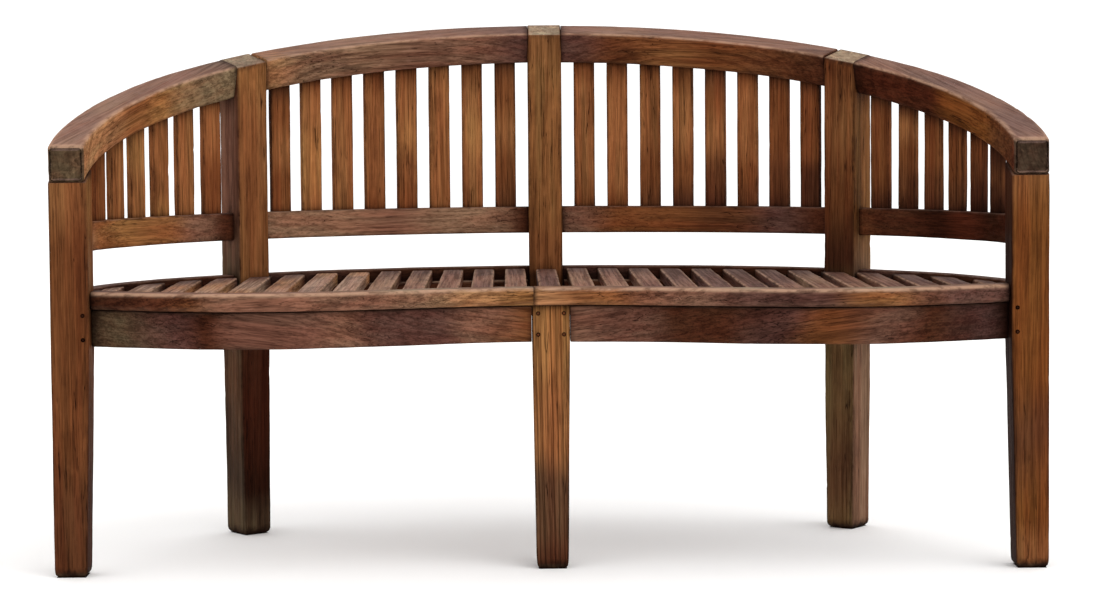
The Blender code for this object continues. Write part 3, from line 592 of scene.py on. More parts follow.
class Board:
    """One length of wood, modelled as rings of its section from its low end to its high end.

    The place function turns a section point and a distance along the board into a world point.
    The face is the direction that the plank's broad side looked to before it was sawn.
    """

    def __init__(self, plan, name, slot, place, section, ends, coat=None, face=FRONT,
                 spacing=RING_SPACING):
        self.finish = plan.finish
        self.name = name
        self.slot = slot
        self.place = place
        self.section = section
        self.ends = ends
        self.spacing = spacing
        coat = coat or coat_of(name)
        coats = coat if isinstance(coat, dict) else {"main": coat}
        self.coat = {side: colours.split() for side, colours in coats.items()}
        draw = random.Random(name)
        self.drift = Vector([draw.uniform(*DRIFT) for _ in range(3)])
        self.pith = Vector((draw.uniform(*PITH_AWAY), draw.uniform(*PITH_ASIDE), self.drift.z))
        self.tone = WOODS[slot].tone * draw.uniform(*BOARD_TONE)
        self.verts = []
        self.faces = []
        self.kept = {name: [] for name in ("grain", "arris", "joint", "cap", "patina")}
        points = [point for point, _, _ in section]
        self.half = Vector((max(point.x for point in points), max(point.y for point in points)))
        self.reaches = []
        for end, inward in zip(ends, (1, -1)):
            middle = find_end(place, Vector((0, 0)), end, inward)
            self.reaches.append((middle, [find_end(place, point, end, inward) for point in points]))
        self.start, self.stop = (middle for middle, _ in self.reaches)
        self.plank_start = place(0, 0, self.start)
        axis = (place(0, 0, self.stop) - self.plank_start).normalized()
        slope = GRAIN_SLOPE.get(slot, LEAST_SLOPE) * draw.choice((-1, 1))
        about = Vector(FRONT if abs(axis.z) < STEEP else face)
        axis = Matrix.Rotation(slope, 3, about) @ axis
        across = axis.cross(Vector(face)).normalized()
        self.plank = Matrix((across, across.cross(axis), axis))

    def worn_depth(self, world, arris):
        """How far wear takes a point of the surface inwards."""
        slow = noise.noise(world * SLOW_LUMPS + self.drift)
        depth = self.finish.face_wear * (1 + slow) / 2
        if arris:
            quick = noise.noise(world * QUICK_LUMPS + self.drift)
            rubbed = max(0.0, RUB_EVERYWHERE + RUB_SLOW * slow + RUB_QUICK * quick)
            chipped = max(0.0, noise.noise(world * CHIP_LUMPS - self.drift) - CHIP_START)
            depth += self.finish.arris_wear * arris * (rubbed + chipped * CHIP_GAIN)
        return depth

    def add_vertex(self, point, outward, arris, along, end):
        """Add one vertex with what the wood needs to know about its place."""
        world = self.place(point.x, point.y, along)
        if outward is not None:
            moved = point - outward * self.worn_depth(world, arris)
            world = self.place(moved.x, moved.y, along)
        reach = self.stop - self.start
        share = min(1.0, max(0.0, (along - self.start) / reach))
        dirt_and_shade = 0.0
        for gap, near in zip((share * reach, (1 - share) * reach), self.ends):
            if near.joint:
                dirt_and_shade = max(dirt_and_shade, math.exp(-gap / (near.joint * self.finish.dirt_reach)))
        if end is not None and end.colour:
            colour = shown_colour(getattr(self.finish, end.colour))
        else:
            wander = COAT_WANDER * noise.noise(world * COAT_LUMPS + self.drift)
            colour = self.face_colour(outward, share + wander) * self.tone
        self.verts.append(world)
        self.kept["grain"].extend(self.plank @ (world - self.plank_start) + self.pith)
        self.kept["arris"].append(arris)
        self.kept["joint"].append(dirt_and_shade)
        self.kept["cap"].append(1.0 if end is not None else 0.0)
        self.kept["patina"].extend((*colour, 1.0))

    def face_colour(self, outward, share):
        """Colour of the coat that covers a face, blended where two faces meet."""
        colour = coat_colour(self.coat["main"], share, self.finish)
        if outward is None:
            return colour
        for face, coat in self.coat.items():
            if face != "main":
                facing = max(0.0, outward.dot(Vector(FACES[face])))
                colour = colour.lerp(coat_colour(coat, share, self.finish), facing * facing)
        return colour

    def add_ring(self, previous):
        """Join the ring that was added last to the ring before."""
        points = len(self.section)
        first = len(self.verts) - points
        if previous is not None:
            for index in range(points):
                after = (index + 1) % points
                before = (previous + index, previous + after)
                self.faces.append((*before, first + after, first + index))
        return first

    def end_ring(self, ring, reach, inward):
        """Add the vertices of a ring near an end, drawn in from the full section."""
        shrink, set_back, worn, end, flat = ring
        at_middle, at_points = reach
        for (point, outward, arris), at_point in zip(self.section, at_points):
            drawn = point * shrink
            along = at_middle + (at_point - at_middle) * min(shrink) + inward * set_back
            if flat:
                self.add_vertex(drawn, None, 0.0, along, end)
            else:
                worn_here = max(arris if end is None else 0.0, worn)
                self.add_vertex(drawn, outward, worn_here, along, end)

    def end_rings(self, end):
        """Rings of one end from its middle outwards.

        Each ring has its shrink, set-back and wear, the end if it shows there, and if it is flat.
        """
        rings = [(Vector((share, share)), 0.0, 0.0, end, True) for share in CAP_SHARES]
        worn = 0.0 if end.joint else END_WEAR
        shown = end if end.rounding > FREE_ROUND and end.colour else None
        for step in range(ROUND_STEPS + 1):
            turn = math.pi / 2 * step / ROUND_STEPS
            drawn = end.rounding * (1 - math.sin(turn))
            shrink = Vector((1 - drawn / self.half.x, 1 - drawn / self.half.y))
            set_back = end.rounding * (1 - math.cos(turn))
            rings.append((shrink, set_back, worn, shown if step < ROUND_STEPS else None, False))
        return rings

    def build_mesh(self):
        """Model the board and return it as a mesh."""
        low_end, high_end = self.ends
        low_reach, high_reach = self.reaches
        self.add_vertex(Vector((0, 0)), None, 0.0, self.start, low_end)
        previous = None
        for ring in self.end_rings(low_end):
            self.end_ring(ring, low_reach, 1)
            previous = self.add_ring(previous)
        count = max(2, round((self.stop - self.start) / self.spacing))
        for step in range(1, count):
            for spot, low, high in zip(self.section, low_reach[1], high_reach[1]):
                start = low + low_end.rounding
                stop = high - high_end.rounding
                self.add_vertex(*spot, start + (stop - start) * step / count, None)
            previous = self.add_ring(previous)
        for ring in reversed(self.end_rings(high_end)):
            self.end_ring(ring, high_reach, -1)
            previous = self.add_ring(previous)
        self.add_vertex(Vector((0, 0)), None, 0.0, self.stop, high_end)
        points = len(self.section)
        last = len(self.verts) - 1
        for index in range(points):
            after = (index + 1) % points
            self.faces.append((0, 1 + after, 1 + index))
            self.faces.append((last, previous + index, previous + after))
        mesh = bpy.data.meshes.new(self.name)
        mesh.from_pydata(self.verts, [], self.faces)
        mesh.validate()
        mesh.shade_smooth()
        self.write_attributes(mesh)
        face_outwards(mesh)
        return mesh

    def write_attributes(self, mesh):
        """Keep on the mesh what the wood's material reads."""
        kinds = {"grain": ("FLOAT_VECTOR", "vector"), "patina": ("FLOAT_COLOR", "color")}
        for name, values in self.kept.items():
            kind, field = kinds.get(name, ("FLOAT", "value"))
            mesh.attributes.new(name, kind, "POINT").data.foreach_set(field, values)

    def stand_for(self, node):
        """Make the board an object, dress it and let it stand for a solid of the frame."""
        piece = add_object(self.name, self.build_mesh())
        piece.data.materials.append(wood_material(self.slot, self.finish))
        if node:
            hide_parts(node)
        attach(piece, "root")


def face_outwards(mesh):
    """Turn the faces of a closed mesh outwards if they face in."""
    volume = 0.0
    corners = [vertex.co for vertex in mesh.vertices]
    for face in mesh.polygons:
        first = corners[face.vertices[0]]
        for second, third in zip(face.vertices[1:], face.vertices[2:]):
            volume += first.dot(corners[second].cross(corners[third]))
    if volume < 0:
        mesh.flip_normals()


def shown_colour(value):
    """A screen colour as the light it stands for."""
    return Vector(Color(value).from_srgb_to_scene_linear())


def coat_colour(coat, share, finish):
    """Colour of a coat at a share of the board's length, blended between neighbours."""
    place = min(1.0, max(0.0, share)) * (len(coat) - 1)
    index = min(int(place), len(coat) - 2)
    blend = place - index
    smooth = blend * blend * (3 - 2 * blend)
    first = shown_colour(getattr(finish, coat[index]))
    second = shown_colour(getattr(finish, coat[index + 1]))
    return first.lerp(second, smooth)


class Recipe:
    """Adds the nodes of one material and joins them up."""

    def __init__(self, material):
        material.use_nodes = True
        self.tree = material.node_tree
        self.shader = self.tree.nodes["Principled BSDF"]

    def node(self, kind, inputs=None, **settings):
        """Add a node, set it, and feed its inputs with values or other nodes' outputs."""
        made = self.tree.nodes.new(kind)
        for key, value in settings.items():
            setattr(made, key, value)
        for key, value in (inputs or {}).items():
            self.feed(made.inputs[key], value)
        return made

    def feed(self, socket, value):
        """Give a socket a value or a link."""
        if isinstance(value, bpy.types.NodeSocket):
            self.tree.links.new(value, socket)
        else:
            socket.default_value = value

    def sum(self, operation, first, second=0.0, third=0.0):
        """One step of arithmetic."""
        made = self.node("ShaderNodeMath", {0: first, 1: second, 2: third}, operation=operation)
        return made.outputs[0]

    def times(self, first, second):
        """Two values multiplied."""
        return self.sum("MULTIPLY", first, second)

    def scaled(self, vector, scale):
        """A vector stretched along its three directions."""
        made = self.node("ShaderNodeVectorMath", {0: vector, 1: scale}, operation="MULTIPLY")
        return made.outputs[0]

    def cloud(self, vector, detail, roughness=0.5):
        """Soft noise from 0 to 1."""
        inputs = {"Vector": vector, "Scale": 1.0, "Detail": detail, "Roughness": roughness}
        return self.node("ShaderNodeTexNoise", inputs).outputs["Fac"]

    def spread(self, value, low, high, to_low=0.0, to_high=1.0):
        """A value moved from one range to another, with soft ends."""
        inputs = {"Value": value, "From Min": low, "From Max": high,
                  "To Min": to_low, "To Max": to_high}
        made = self.node("ShaderNodeMapRange", inputs, interpolation_type="SMOOTHSTEP")
        return made.outputs["Result"]

    def mix(self, share, first, second, blend="MIX"):
        """Two colours blended. The node keeps its colours in its seventh and eighth inputs."""
        made = self.node("ShaderNodeMix", data_type="RGBA", blend_type=blend)
        self.feed(made.inputs[0], share)
        self.feed(made.inputs[6], first)
        self.feed(made.inputs[7], second)
        return made.outputs[2]

    def tinted(self, colour, tint):
        """A colour multiplied by a tint."""
        return self.mix(1.0, colour, (*tint, 1), "MULTIPLY")

    def layer(self, share, colour, tint):
        """A colour that is tinted in part."""
        return self.mix(share, colour, self.tinted(colour, tint))

    def attribute(self, name, output="Fac"):
        """Something kept on the mesh."""
        return self.node("ShaderNodeAttribute", attribute_name=name).outputs[output]


# Noises of the grain: cycles to the metre across, through and along the board, detail, roughness
NOISES = {
    "strips": ((95, 95, 3.2), 4.0, 0.62),
    "streaks": ((250, 250, 6), 4.0, 0.6),
    "fibres": ((600, 600, 12), 3.0, 0.6),
    "pores": ((900, 900, 18), 2.0, 0.5),
    "stains": ((17, 17, 7), 5.0, 0.62),
    "hue": ((48, 48, 3), 3.0, 0.55),
    "mottle": ((75, 75, 36), 4.0, 0.65),
    "cracks": ((85, 85, 3), 3.0, 0.55),
}

# Growth round the pith: how it wanders, its soft bands and its thin rings, in cycles to the metre
WARP_SCALE = (9, 9, 2.2)
WARP_DETAIL = 2.0
WARP_DEPTH = 0.012
BAND_DENSITY = 210
BAND_STRETCH = 0.9
BAND_FINENESS = (3.0, 0.6)
RING_DENSITY = 135
RING_WAVE = (0.35, 0.95)

# Light and dark figure: each noise, the range of it that counts, and its weight
FIGURE = (
    ("bands", (0.36, 0.62), 0.4),
    ("strips", (0.36, 0.64), 0.6),
    ("streaks", (0.36, 0.64), 0.7),
    ("fibres", (0.36, 0.64), 0.4),
)

# How much calmer the figure is on end grain
END_CALM = 0.6

# Ranges of the noises and, where two more numbers follow, what they become there
RANGES = {
    "figure": (0.3, 1.8),
    "hue": (0.36, 0.64),
    "stained": (0.50, 0.70),
    "bleached": (0.54, 0.72, 0.0, 0.55),
    "mottled": (0.30, 0.47, 0.36, 0.0),
    "end_blotch": (0.40, 0.60, 0.60, 0.0),
    "ring": (0.35, 0.60, 0.4, 1.0),
    "pore": (0.34, 0.44, 0.55, 0.0),
    "crack": (0.44, 0.58),
    "facing_up": (0.45, 0.93),
    "silver": (0.72, 1.20, 0.45, 1.0),
    "grime": (0.30, 0.60, 1.0, 0.35),
    "rubbed": (0.38, 0.56, 0.3, 1.0),
    "rubbed_from_above": (0.0, 0.5, 0.08, 1.0),
    "painted_shade": (0.25, 0.80, 0.85, 0.0),
    "dirt_and_shade": (0.25, 0.75, 1.0, 0.75),
    "gloss": (0.2, 0.8),
}

# Widths of the checks in the end grain and of the cracks, as parts of their noises
CHECK_WIDTH = 0.025
CRACK_WIDTH = 0.010

# Tints that multiply the colour of the coat
TINTS = {
    "redder": (1.02, 0.94, 0.90),
    "yellower": (0.98, 1.07, 1.04),
    "dark_figure": (0.36, 0.31, 0.30),
    "light_figure": (1.70, 1.76, 1.82),
    "stained": (0.44, 0.40, 0.42),
    "bleached": (1.45, 1.55, 1.70),
    "mottled": (0.50, 0.44, 0.42),
    "end_blotch": (0.40, 0.38, 0.38),
    "end_check": (1.60, 1.60, 1.60),
    "ring": (0.22, 0.17, 0.15),
    "pore": (0.32, 0.27, 0.25),
    "crack": (0.16, 0.13, 0.12),
}

# Silver that lets the wood through, dirt and painted shade, and the feel of the surface
SILVER_CLEAR = 0.35
JOINT_DIRT = 0.9
PAINTED_SHADE_REACH = 0.035
PAINTED_SHADE_SAMPLES = 6
DULLER, GLOSSIER = 0.12, 0.06
WOOD_GLOSS = 0.02
LESSER_BUMP = 0.5
PIT_DEPTH = 1.2
BUMP_STRENGTH = 0.7
BUMP_DEPTH = 0.0009


def growth(wood, grain):
    """Soft bands and thin dark rings round the pith: lines on a board's faces, arcs on its ends."""
    parts = wood.node("ShaderNodeSeparateXYZ", {0: grain}).outputs
    flat = wood.scaled(grain, (1, 1, 0))
    from_pith = wood.node("ShaderNodeVectorMath", {0: flat}, operation="LENGTH").outputs["Value"]
    warp = wood.cloud(wood.scaled(grain, WARP_SCALE), WARP_DETAIL)
    warped = wood.sum("MULTIPLY_ADD", warp, WARP_DEPTH, from_pith)
    across = wood.times(warped, BAND_DENSITY)
    along = wood.times(parts[2], BAND_STRETCH)
    stacked = wood.node("ShaderNodeCombineXYZ", {0: across, 1: along}).outputs[0]
    wave = wood.sum("SINE", wood.times(warped, RING_DENSITY * 2 * math.pi))
    return wood.cloud(stacked, *BAND_FINENESS), wood.spread(wave, *RING_WAVE)


def grain_noises(wood):
    """Every noise of the grain under its name."""
    grain = wood.attribute("grain", "Vector")
    made = SimpleNamespace()
    made.bands, made.rings = growth(wood, grain)
    for name, (scale, detail, roughness) in NOISES.items():
        setattr(made, name, wood.cloud(wood.scaled(grain, scale), detail, roughness))
    return made


def ridge(wood, value, width):
    """Thin lines where soft noise crosses its middle, 1 on a line."""
    apart = wood.sum("ABSOLUTE", wood.sum("SUBTRACT", value, 0.5))
    return wood.spread(apart, 0.0, width, 1.0, 0.0)


def figured(wood, grain, cap, look, colour):
    """Redder and yellower places, then light and dark figure, which is calmer on end grain."""
    redder, yellower = (wood.tinted(colour, TINTS[name]) for name in ("redder", "yellower"))
    colour = wood.mix(wood.spread(grain.hue, *RANGES["hue"]), redder, yellower)
    figure = 0.0
    for name, span, weight in FIGURE:
        part = wood.spread(getattr(grain, name), *span)
        figure = wood.sum("MULTIPLY_ADD", part, weight, figure)
    half = look.contrast / 2
    figure = wood.spread(figure, *RANGES["figure"], 0.5 - half, 0.5 + half)
    to_middle = wood.sum("SUBTRACT", 0.5, figure)
    figure = wood.sum("MULTIPLY_ADD", to_middle, wood.times(cap, END_CALM), figure)
    dark, light = (wood.tinted(colour, TINTS[name]) for name in ("dark_figure", "light_figure"))
    return figure, wood.mix(figure, dark, light)


def marked(wood, grain, cap, look, colour):
    """Stains, marks of the end grain, dark growth rings, pores and cracks."""
    rings = wood.times(grain.rings, wood.spread(grain.bands, *RANGES["ring"]))
    pits = wood.times(wood.spread(grain.pores, *RANGES["pore"]), wood.sum("SUBTRACT", 1.0, cap))
    cracked = wood.spread(grain.stains, *RANGES["crack"])
    cracked = wood.times(ridge(wood, grain.cracks, CRACK_WIDTH), cracked)
    shares = {
        "stained": wood.times(wood.spread(grain.stains, *RANGES["stained"]), look.stains),
        "bleached": wood.times(wood.spread(grain.mottle, *RANGES["bleached"]), look.stains),
        "mottled": wood.times(wood.spread(grain.mottle, *RANGES["mottled"]), look.stains),
        "end_blotch": wood.times(cap, wood.spread(grain.mottle, *RANGES["end_blotch"])),
        "end_check": wood.times(cap, ridge(wood, grain.stains, CHECK_WIDTH)),
        "ring": wood.times(rings, look.rings),
        "pore": pits,
        "crack": cracked,
    }
    for name, share in shares.items():
        colour = wood.layer(share, colour, TINTS[name])
    return wood.sum("MAXIMUM", pits, cracked), colour


def weathered(wood, grain, look, finish, colour):
    """Silver on what faces up, grimy and rubbed arrises, dirt in joints, painted shade in sheltered
    places.
    """
    silver, dirt_and_shade, worn = (
        (*shown_colour(value), 1) for value in (finish.silver, finish.dirt_and_shade, finish.worn)
    )
    normal = wood.node("ShaderNodeNewGeometry").outputs["Normal"]
    upward = wood.node("ShaderNodeSeparateXYZ", {0: normal}).outputs[2]
    aged = wood.spread(wood.sum("ADD", grain.streaks, grain.mottle), *RANGES["silver"])
    silvered = wood.times(wood.spread(upward, *RANGES["facing_up"]), aged)
    silver = wood.mix(SILVER_CLEAR, silver, colour)
    colour = wood.mix(wood.times(silvered, look.silvering), colour, silver)
    arris = wood.attribute("arris")
    grimy = wood.times(arris, wood.spread(grain.mottle, *RANGES["grime"]))
    colour = wood.mix(wood.times(grimy, look.grimy), colour, dirt_and_shade)
    rubbed = wood.times(arris, wood.spread(grain.mottle, *RANGES["rubbed"]))
    rubbed = wood.times(rubbed, wood.spread(upward, *RANGES["rubbed_from_above"]))
    colour = wood.mix(wood.times(rubbed, look.rubbed), colour, worn)
    # Painted shade: the occlusion node darkens corners, recesses, the gaps between slats, the
    # places under the rails and near the floor, and together with the joint dirt it blends the
    # colour towards the dark dirt colour
    reach = {"Distance": PAINTED_SHADE_REACH}
    sky = wood.node("ShaderNodeAmbientOcclusion", reach, samples=PAINTED_SHADE_SAMPLES)
    painted_shade = wood.spread(sky.outputs["AO"], *RANGES["painted_shade"])
    dirt_and_shade_share = wood.sum("MAXIMUM", wood.times(wood.attribute("joint"), JOINT_DIRT), painted_shade)
    dirt_and_shade_share = wood.times(dirt_and_shade_share, wood.spread(grain.mottle, *RANGES["dirt_and_shade"]))
    return wood.mix(dirt_and_shade_share, colour, dirt_and_shade)


def wood_material(slot, finish):
    """The weathered wood of one slot, made once."""
    name = "worn_" + slot
    if name in bpy.data.materials:
        return bpy.data.materials[name]
    look = WOODS[slot]
    material = bpy.data.materials.new(name)
    wood = Recipe(material)
    grain = grain_noises(wood)
    cap = wood.attribute("cap")
    colour = wood.attribute("patina", "Color")
    figure, colour = figured(wood, grain, cap, look, colour)
    hollows, colour = marked(wood, grain, cap, look, colour)
    colour = weathered(wood, grain, look, finish, colour)
    dull, glossy = look.roughness + DULLER, look.roughness - GLOSSIER
    height = wood.sum("MULTIPLY_ADD", grain.bands, LESSER_BUMP, grain.streaks)
    height = wood.sum("MULTIPLY_ADD", grain.fibres, LESSER_BUMP, height)
    height = wood.sum("SUBTRACT", height, wood.times(hollows, PIT_DEPTH))
    bump = {"Height": height, "Strength": BUMP_STRENGTH, "Distance": BUMP_DEPTH}
    surface = wood.shader.inputs
    wood.feed(surface["Base Color"], colour)
    wood.feed(surface["Roughness"], wood.spread(figure, *RANGES["gloss"], dull, glossy))
    wood.feed(surface["Normal"], wood.node("ShaderNodeBump", bump).outputs["Normal"])
    surface["Specular IOR Level"].default_value = WOOD_GLOSS
    return material


def plane_room(point, past):
    """Room left before a plane, given by a point on it and the direction past it."""
    spot = Vector(point)
    away = Vector(past).normalized()
    return lambda world: (spot - world).dot(away)


def square_end(axis, at, side, *details, margin=SEARCH_MARGIN):
    """A board's low (-1) or high (1) end, sawn square to an axis of the world at a place on it."""
    point, past = Vector(), Vector()
    point[axis], past[axis] = at, side
    return End(at + side * margin, plane_room(point, past), *details)


def square_ends(axis, low, high):
    """Both ends of a board that is sawn square to an axis."""
    return [square_end(axis, low, -1), square_end(axis, high, 1)]


def post_room(plan, node, toward, gap):
    """Room left before a post's left or right face, less a gap. Front posts are met at the back."""
    point, heading = plan.post_station(node)
    out = Vector((0, 1)) if node.startswith("front") else turned(heading, toward, 0)
    face = point + out * (plan.half_post + gap)
    return plane_room(plan.in_world(face, 0), (-out.x, -out.y, 0))


def bay_ends(plan, kind, side_name, side, gap=None):
    """Ends of a rail between the two posts of its bay, the left one first."""
    gap = -plan.sizes.press if gap is None else gap
    inner = "back_post_centre" if kind == "back" else "back_post_" + side_name
    outer = "back_post_" + side_name if kind == "back" else "front_post_" + side_name
    rooms = [post_room(plan, inner, side, gap), post_room(plan, outer, -side, gap)]
    low, high = plan.bay(kind, side)
    if side < 0:
        rooms.reverse()
    return [End(low - SEARCH_MARGIN, rooms[0]), End(high + SEARCH_MARGIN, rooms[1])]


def level_place(plan, middle_height, inset=0):
    """Place function of a level board along the frame line, or beside it."""
    def place(across, up, along):
        point = plan.line_point(along, plan.frame_half, plan.frame_reach, inset - across)
        return plan.in_world(point, middle_height + up)
    return place


def front_place(plan, inset, middle_height):
    """Place function of a board along the seat's front edge."""
    def place(across, up, along):
        return plan.in_world(plan.front_point(along, inset - across), middle_height + up)
    return place


def straight_place(x, z):
    """Place function of a board that runs from front to back."""
    def place(across, up, along):
        return Vector((x + across, along, z + up))
    return place


def upright_place(plan, node):
    """Place function of a post, tapered below the apron as its solid is."""
    point, heading = plan.post_station(node)
    takes = taper_of(plan.sizes, node)
    half = plan.half_post

    def place(across, through, height):
        share = max(0.0, 1 - height / plan.apron_bottom)
        left, right, back = (take * share for take in takes)
        moved = across + (left * (half - across) - right * (half + across)) / (2 * half)
        drawn = through - back * (half + through) / (2 * half)
        return plan.in_world(point + turned(heading, moved, drawn), height)
    return place


def taper_of(sizes, node):
    """Wood taken off a post's left, right and back faces at the foot."""
    full = sizes.post_taper
    tapers = {
        "front_post_left": (0, full, full),
        "front_post_right": (full, 0, full),
        "back_post_left": (full / 2, full / 2, 0),
        "back_post_right": (full / 2, full / 2, 0),
        "front_leg_centre": (sizes.leg_taper, sizes.leg_taper, 0),
    }
    return tapers.get(node, (0, 0, 0))


def slope_room(plan, drop):
    """Room left under the rail's sloping top, less a drop measured upright."""
    point = (0, plan.front, plan.sizes.arm_height - drop)
    return plane_room(point, (0, -math.sin(plan.tilt), math.cos(plan.tilt)))


def middle_of(node):
    """Height of the middle of a solid of the frame, and its height from low to high."""
    low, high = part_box(node)
    return (low.z + high.z) / 2, high.z - low.z


def make_posts(plan):
    """The posts and the middle front leg."""
    sizes = plan.sizes
    section = rounded_section(plan.post_width, plan.post_width, sizes.post_ease)
    for node in POSTS:
        low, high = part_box(node)
        foot_round = sizes.foot_wear if low.z < sizes.fit else FREE_ROUND
        foot = square_end(Z, low.z, -1, foot_round, "moss", 0.0, margin=TIGHT_ROUND)
        if node.startswith("back"):
            room = slope_room(plan, sizes.post_top_drop)
            head = End(high.z + TIGHT_ROUND, room, TIGHT_ROUND, "ash", 0.0)
        elif node.startswith("front_post"):
            head = End(sizes.arm_height, slope_room(plan, plan.rail_drop - sizes.press))
        else:
            head = square_end(Z, high.z, 1, margin=TIGHT_ROUND)
        slot = "leg_wood" if node == "front_leg_centre" else "post_wood"
        place = upright_place(plan, node)
        Board(plan, node, slot, place, section, (foot, head)).stand_for(node)


def make_top_rail(plan):
    """The four lengths of the top rail, in one sloping plane."""
    sizes = plan.sizes
    reach = sizes.back_reach / math.cos(plan.tilt)
    lay = Matrix.Translation((0, plan.front, sizes.arm_height)) @ Matrix.Rotation(plan.tilt, 4, "X")

    def place(across, up, along):
        inset = sizes.rail_width / 2 - across
        point = plan.line_point(along, sizes.half_length, reach, inset)
        return lay @ Vector((point.x, point.y, up - sizes.rail_thickness / 2))

    section = rounded_section(sizes.rail_width, sizes.rail_thickness, sizes.rail_ease)
    arm_room = plane_room((0, plan.front, 0), FRONT)
    for kind, side_name, side in BAYS:
        node = ("top_rail_" if kind == "back" else "arm_rail_") + side_name
        ends = bay_ends(plan, kind, side_name, side)
        if kind == "side":
            past = side * (plan.line_distances[-1] + SEARCH_MARGIN)
            colour = "moss" if side < 0 else "bark"
            ends[side > 0] = End(past, arm_room, sizes.rail_ease, colour, 0.0)
        Board(plan, node, "rail_wood", place, section, ends, face=UP).stand_for(node)


def make_level_rails(plan, name, thickness, slot):
    """The four lengths of a level curved rail between the posts."""
    for kind, side_name, side in BAYS:
        node = f"{name}_{kind}_{side_name}"
        middle, height = middle_of(node)
        section = rounded_section(thickness, height, plan.sizes.board_ease)
        ends = bay_ends(plan, kind, side_name, side)
        Board(plan, node, slot, level_place(plan, middle), section, ends).stand_for(node)


def make_lower_rail(plan):
    """The four lengths of the lower back rail."""
    make_level_rails(plan, "lower_rail", plan.sizes.lower_rail_thickness, "slat_wood")


def make_back_slats(plan):
    """The upright slats between the lower rail and the top rail."""
    sizes = plan.sizes
    rail_top = node_high("lower_rail_back_left").z
    foot_room = plane_room((0, 0, rail_top - sizes.slat_bite), UNDER)
    head_room = slope_room(plan, plan.rail_drop - sizes.slat_bite)
    for kind, side_name, side in BAYS:
        count = sizes.back_slats if kind == "back" else sizes.side_slats
        low, high = sorted(abs(end) for end in plan.bay(kind, side))
        space = (high - low - count * sizes.slat_width) / (count + 1)
        for index in range(count):
            along = low + (space + sizes.slat_width) * (index + 1) - sizes.slat_width / 2
            node = f"{kind}_slat_{side_name}_{index + 1}"
            coat = SLAT_COATS[f"{kind}_{side_name}"][index]
            make_slat(plan, node, side * along, (foot_room, head_room), coat)


def make_slat(plan, node, distance, rooms, coat):
    """One upright slat."""
    sizes = plan.sizes
    point, heading = plan.station(distance)

    def place(across, through, height):
        return plan.in_world(point + turned(heading, across, through), height)

    low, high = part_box(node)
    foot = End(low.z - TIGHT_ROUND, rooms[0], joint=SLAT_FOOT_DIRT)
    # The head's longer reach paints the shadow of the top rail on the slat, as well as dirt
    head = End(high.z + TIGHT_ROUND, rooms[1], joint=SLAT_HEAD_DIRT_AND_SHADOW)
    section = rounded_section(sizes.slat_width, sizes.slat_thickness, sizes.slat_ease)
    Board(plan, node, "slat_wood", place, section, (foot, head), coat).stand_for(node)


def make_seat_front(plan):
    """The rim in two halves and the aprons under it."""
    sizes = plan.sizes
    apron_inset = sizes.apron_set_back + sizes.apron_thickness / 2
    for side_name, side in SIDES:
        far = side * (plan.seat_inside - sizes.fit)
        joint = sizes.rim_joint + side * sizes.fit / 2
        ends = square_ends(X, *sorted((joint, far)))
        ends[side < 0].joint = RIM_JOINT_DIRT
        ends[side < 0].rounding = RIM_JOINT_ROUND
        make_front_board(plan, "seat_rim_" + side_name, "rim_wood", plan.rim_width,
                         sizes.rim_ease, plan.rim_width / 2, ends)
        ends = square_ends(X, *sorted((side * (plan.half_post + sizes.fit), far)))
        make_front_board(plan, "front_apron_" + side_name, "apron_wood", sizes.apron_thickness,
                         sizes.board_ease, apron_inset, ends)


def make_front_board(plan, node, slot, thickness, ease, inset, ends):
    """One board along the seat's front edge."""
    middle, height = middle_of(node)
    section = rounded_section(thickness, height, ease)
    Board(plan, node, slot, front_place(plan, inset, middle), section, ends).stand_for(node)


def make_seat_frame(plan):
    """The curved seat rails and the middle stretcher."""
    sizes = plan.sizes
    make_level_rails(plan, "seat_rail", sizes.seat_rail_thickness, "apron_wood")
    node = "seat_stretcher"
    low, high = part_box(node)
    middle, height = middle_of(node)
    section = rounded_section(high.x - low.x, height, sizes.board_ease)
    front = node_high("front_leg_centre").y + sizes.fit
    back = node_low("back_post_centre").y - sizes.fit
    place = straight_place(0, middle)
    Board(plan, node, "apron_wood", place, section, square_ends(Y, front, back)).stand_for(node)


def depth_line(points):
    """Depth of a line of plan points at a distance from the middle, alike on both sides."""
    across = [point.x for point in points]
    depths = [point.y for point in points]
    return lambda distance: float(numpy.interp(abs(distance), across, depths))


def seat_front_room(plan):
    """Room left before the back of the rim."""
    inset = plan.rim_width + plan.sizes.slat_fit
    front = depth_line([plan.front_point(plan.seat_inside * step / LINE_STEPS, inset)
                        for step in range(LINE_STEPS + 1)])
    return lambda world: world.y - plan.front - front(world.x)


def seat_back_room(plan):
    """Room left before the curved seat rails and the back posts."""
    sizes = plan.sizes
    back = depth_line(plan.frame_line(sizes.seat_rail_thickness / 2 + sizes.slat_fit))
    posts = [plan.post_station(node) for node in POSTS if node.startswith("back")]
    half = plan.half_post + sizes.slat_fit

    def room(world):
        depth = world.y - plan.front
        left = back(world.x) - depth
        for centre, heading in posts:
            local = turned(-heading, world.x - centre.x, depth - centre.y)
            left = min(left, max(abs(local.x), abs(local.y)) - half)
        return left
    return room


def seat_slat_places(plan):
    """Number, side, place and width of each seat slat, from the middle outwards."""
    sizes = plan.sizes
    pitch = sizes.seat_slat_width + sizes.seat_slat_space
    limit = plan.seat_inside - sizes.slat_fit
    places = [(0, "centre", 0.0, sizes.seat_slat_width)]
    for side_name, side in SIDES:
        edge = pitch - sizes.seat_slat_width / 2
        index = 1
        while edge + sizes.seat_slat_least < limit:
            width = min(sizes.seat_slat_width, limit - edge)
            places.append((index, side_name, side * (edge + width / 2), width))
            edge += pitch
            index += 1
    return places


